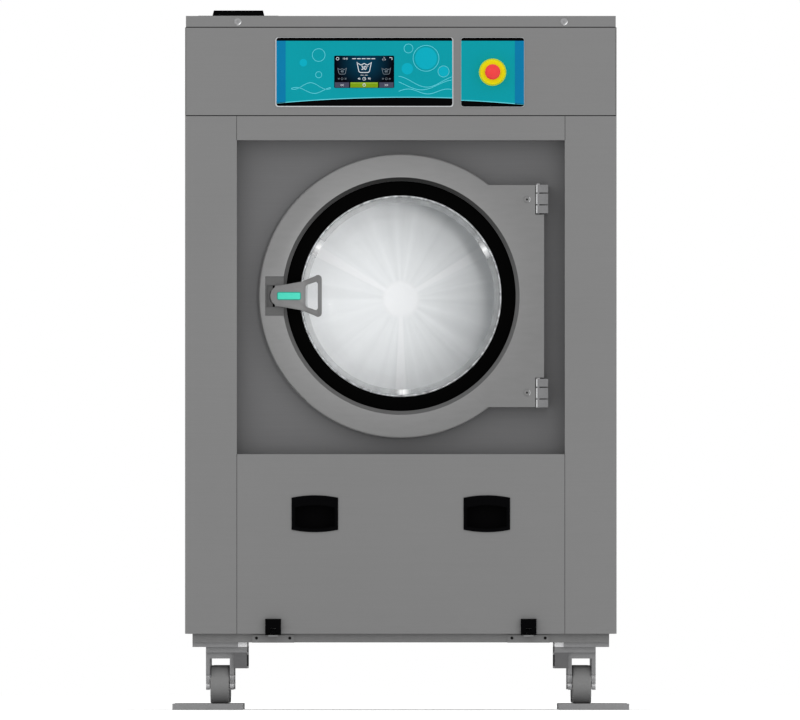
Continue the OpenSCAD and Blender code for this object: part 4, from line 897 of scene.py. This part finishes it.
def streaked(material, axis_z, fineness, least, most):
    """Adds streaks out from the drum's axis: grain with painted sheen on the drum, painted
    reflections elsewhere.

    It gives back the turn round the axis, from 0 to 1, and the streaks' factor.
    """
    tree = material.node_tree
    place = tree.nodes.new("ShaderNodeTexCoord")
    upright = tree.nodes.new("ShaderNodeMapping")
    upright.inputs["Location"].default_value = (0, -axis_z, 0)
    upright.inputs["Rotation"].default_value = (-math.pi / 2, 0, 0)
    around = tree.nodes.new("ShaderNodeTexGradient")
    around.gradient_type = "RADIAL"
    streaks = tree.nodes.new("ShaderNodeTexNoise")
    streaks.noise_dimensions = "1D"
    streaks.inputs["Scale"].default_value = fineness
    streaks.inputs["Detail"].default_value = 3
    tree.links.new(place.outputs["Object"], upright.inputs["Vector"])
    tree.links.new(upright.outputs["Vector"], around.inputs["Vector"])
    tree.links.new(around.outputs["Fac"], streaks.inputs["W"])
    factor = rescale(tree, streaks.outputs["Fac"], 0.3, 0.7, least, most)
    scale_tone(material, factor)
    return around.outputs["Fac"], factor


door_alloy = grained("door_alloy", srgb(129, 129, 129), 0.3, 0.42, (30, 30, 120), 0.04, 0.04)
gasket_black = grained("gasket_black", srgb(2, 2, 2), 0, 0.7, (500, 500, 500), 0.05, 0.1, 60, 0.015)
bright_rim = grained("bright_rim", srgb(168, 170, 172), 0.5, 0.3, (200, 200, 200), 0.02, 0.04)
lip_painted_shade = grained("lip_painted_shade", srgb(98, 98, 98), 0.3, 0.45, (60, 60, 60), 0.1, 0.06)
dress(door_alloy, "door_ring")
gasket_low, gasket_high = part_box("door_gasket")
ring_z = (gasket_low.z + gasket_high.z) / 2
# The lip is painted darker than the ring, and darker still towards the top: painted shade of the
# groove.
shade_along(lip_painted_shade, "Z", ring_z, ring_z + LIP_DARK_H, 0.12)
paint("door_ring", lip_painted_shade, lambda middle, normal: -0.95 < normal.y < -0.3
      and LIP_INNER_R < math.hypot(middle.x, middle.z - ring_z) < LIP_R)
dress(gasket_black, "door_gasket")
dress(bright_rim, "glass_rim")
# The rim's strong streaks are painted reflections.
streaked(bright_rim, ring_z, 90, 0.55, 1.35)
clear_glass, tree, shader = plain("clear_glass", srgb(225, 236, 240), 0, 0.03, 0.1)
shader.inputs["Alpha"].default_value = GLASS_ALPHA
dress(clear_glass, "door_glass")

# The glass's thick edge is half clear, with strong streaks that are painted reflections and three
# painted glints, evenly round it
glass_edge = grained("glass_edge", srgb(128, 132, 134), 0, 0.2, (40, 40, 40), 0.02, 0.06)
turn, reflection_streaks = streaked(glass_edge, ring_z, 60, 0.5, 1.5)
tree = glass_edge.node_tree
glint = tree.nodes.new("ShaderNodeValToRGB")
before, after = glint.color_ramp.elements
before.position = GLINT_TURN - GLINT_SPREAD
before.color = (0, 0, 0, 1)
after.position = GLINT_TURN + GLINT_SPREAD
after.color = (0, 0, 0, 1)
glint.color_ramp.elements.new(GLINT_TURN).color = GLINT_LIGHT
tree.links.new(reckon(tree, "FRACT", reckon(tree, "MULTIPLY", turn, GLINTS)), glint.inputs["Fac"])
sharp = reckon(tree, "MULTIPLY", glint.outputs["Color"], reflection_streaks)
brighten(glass_edge, sharp, (1, 1, 1, 1))
tree.links.new(rescale(tree, sharp, 0, 1, EDGE_ALPHA, 1),
               tree.nodes["Principled BSDF"].inputs["Alpha"])
paint("door_glass", glass_edge, lambda middle, normal: normal.y < -0.9
      and math.hypot(middle.x, middle.z - ring_z) > GLASS_EDGE_R)

DOOR_SCREW_X = 0.2304
DOOR_SCREW_R = 0.0063
DOOR_SCREW_H = 0.0030
DOOR_SCREW_IN = 0.020
DOOR_SOCKET_R = 0.0022
door_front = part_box("door_ring")[0].y
hinge_low, hinge_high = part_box("door_hinge_leaves")
for level, z in (("upper", hinge_high.z - DOOR_SCREW_IN), ("lower", hinge_low.z + DOOR_SCREW_IN)):
    screw = turn_screw(DOOR_SCREW_R, DOOR_SCREW_H)
    screw.location = (DOOR_SCREW_X, door_front, z)
    screw = keep(f"door_screw_{level}", door_alloy, "door")
    # The right side of each dome is painted bright: a painted highlight.
    tint(screw, painted_highlight, lambda middle, normal: normal.y < -0.2 and normal.x > 0.5)
    tint(screw, dark_recess, lambda middle, normal:
         math.hypot(middle.x - DOOR_SCREW_X, middle.z - z) < DOOR_SOCKET_R)


# Door handle
# A cast pull handle turns in a dark pocket of the ring. A bare teal badge is let into its face.
NECK_X0, NECK_X1 = -0.181, -0.172
HANDLE_EDGE = 0.0016
BADGE_X0, BADGE_X1 = -0.2262, -0.1822
BADGE_H = 0.0148
BADGE_T = 0.0010
BADGE_IN = 0.0004
BADGE_CORNER = 0.0036
BADGE_FRAME = 0.0013
BADGE_SINK = 0.0005
BADGE_STEP = 0.0001
BADGE_LEAST_AREA = 0.0001

handle_cast = grained("handle_cast", srgb(119, 119, 119), 0.3, 0.45, (200, 200, 200), 0.1, 0.05)
# The handle is painted darker towards its neck: painted shade.
shade_along(handle_cast, "X", NECK_X0, NECK_X1, 0.72)
pocket_cast = grained("pocket_cast", srgb(94, 94, 94), 0.3, 0.5, (200, 200, 200), 0.1)
badge_teal = grained("badge_teal", srgb(74, 216, 190), 0, 0.3, (300, 300, 300), 0.02, 0.05, 60, 0.1)
badge_frame = grained("badge_frame", srgb(40, 146, 128), 0, 0.35, (300, 300, 300), 0.02, 0.05,
                      60, 0.1)
dress(handle_cast, "door_handle", edge=HANDLE_EDGE)
dress(pocket_cast, "handle_bracket")
handle_low, handle_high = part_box("door_handle")
handle_z = (handle_low.z + handle_high.z) / 2
round_sheet(BADGE_X0, BADGE_X1, handle_z - BADGE_H / 2, handle_z + BADGE_H / 2,
            handle_low.y + BADGE_IN, BADGE_CORNER, BADGE_T)
bpy.ops.mesh.inset(thickness=BADGE_FRAME)
pull(0, BADGE_SINK, 0)
bpy.ops.mesh.inset(thickness=BADGE_STEP)
bpy.ops.object.mode_set(mode="OBJECT")
badge = keep("handle_badge", badge_teal, "handle")
badge.data.materials.append(badge_frame)
for face in badge.data.polygons:
    inside = abs(face.center.z - handle_z) < BADGE_H / 2 - BADGE_FRAME - BADGE_STEP / 2
    bare = inside and face.normal.y < -0.9 and face.area > BADGE_LEAST_AREA
    face.material_index = 0 if bare else 1


# Drum
# Polished stainless steel: a back with a round boss and three pressed ribs, and three hollow
# lifters that are welded to the wall.
BOSS_R = 0.038
RIB_HIGH, RIB_LOW = 0.014, 0.004

drum_steel = grained("drum_steel", srgb(234, 235, 236), 0.5, 0.45, (60, 60, 60), 0.02, 0.02, 6)
drum_highlight = grained("drum_highlight", srgb(244, 244, 245), 0.3, 0.4, (60, 60, 60), 0.02, 0.01, 6)
drum_low, drum_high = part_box("drum_wall")
streaked(drum_steel, (drum_low.z + drum_high.z) / 2, 34, 0.955, 1.045)
dress(drum_steel, "drum_wall", "drum_lifters")
# The rib tops and the boss's face are painted brighter than the rest of the drum: a painted
# highlight.
paint("drum_wall", drum_highlight, lambda middle, normal: normal.y < -0.9
      and drum_high.y - RIB_HIGH < middle.y < drum_high.y - RIB_LOW)

# Painted highlight: the boss's sloped edge has a bright finish whose normal always faces forward,
# so it shows no shade and is as bright as the boss's face
boss_edge = grained("boss_edge", srgb(238, 238, 239), 0.3, 0.4, (60, 60, 60), 0.02, 0.01, 6)
tree = boss_edge.node_tree
facing = tree.nodes.new("ShaderNodeCombineXYZ")
facing.inputs["Y"].default_value = -1
tree.links.new(facing.outputs[0], tree.nodes["Principled BSDF"].inputs["Normal"])
paint("drum_wall", boss_edge, lambda middle, normal: -0.9 < normal.y < -0.3
      and math.hypot(middle.x, middle.z - ring_z) < BOSS_R)


# Suspension, drive and water inside
# Springs and dampers stand on the base and carry the cradle. The castings are painted, the motor
# is blue-grey, and hoses, belt and bellows are black rubber.
cast_paint = grained("cast_paint", srgb(92, 94, 97), 0.2, 0.6, (220, 220, 220), 0.35)
motor_paint = grained("motor_paint", srgb(62, 78, 96), 0.1, 0.5, (260, 260, 260), 0.25)
hose_rubber = grained("hose_rubber", srgb(22, 22, 23), 0, 0.65, (400, 400, 400), 0.1, 0.1, 50)
valve_plastic = grained("valve_plastic", srgb(60, 92, 130), 0, 0.45, (400, 400, 400), 0.1, 0.06, 50)
drain_plastic = grained("drain_plastic", srgb(52, 53, 56), 0, 0.5, (400, 400, 400), 0.1, 0.08, 50)
spring_steel = grained("spring_steel", srgb(120, 121, 124), 0.7, 0.35, (300, 300, 300), 0.08)
dress(cast_paint, "bearing_housing", "counterweight", "drum_spider", "drum_pulley", "motor_pulley")
dress(motor_paint, "motor_housing")
dress(hose_rubber, "drive_belt")
dress(valve_plastic, "inlet_valves")
dress(drain_plastic, "drain_valve", "damper_cylinders")
dress(plated, "damper_rods", "bearings")
dress(base_paint, "cradle_beams", "cradle_saddles")


# Springs and bellows
# Wound spring steel and moulded rubber, held at one end by the cabinet or base and at the other by
# the tub group. In the machine they shorten and lengthen as the tub group rides up and down; here
# each is a copy of its CAD part with its finish, in the part's place.
# Each row: node, finish, slot, height of the end that stays and of the end that rides
FLEXING = [
    ("springs", spring_steel, "zinc_steel", 0.1780, 0.3400),
    ("fill_bellows", hose_rubber, "rubber", 1.1240, 1.0870),
    ("drain_bellows", hose_rubber, "rubber", 0.3390, 0.4120),
]
for name, material, slot_name, fixed_z, riding_z in FLEXING:
    piece = bpy.data.objects.new(name + "_flexing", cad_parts[name].data.copy())
    piece.data.name = piece.name
    bpy.context.collection.objects.link(piece)
    bpy.ops.object.select_all(action="DESELECT")
    piece.select_set(True)
    bpy.context.view_layer.objects.active = piece
    finish(piece, material)
    bpy.ops.object.modifier_apply(modifier="joined")
    bpy.ops.object.modifier_apply(modifier="crisp")
    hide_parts(name)
    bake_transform(piece)
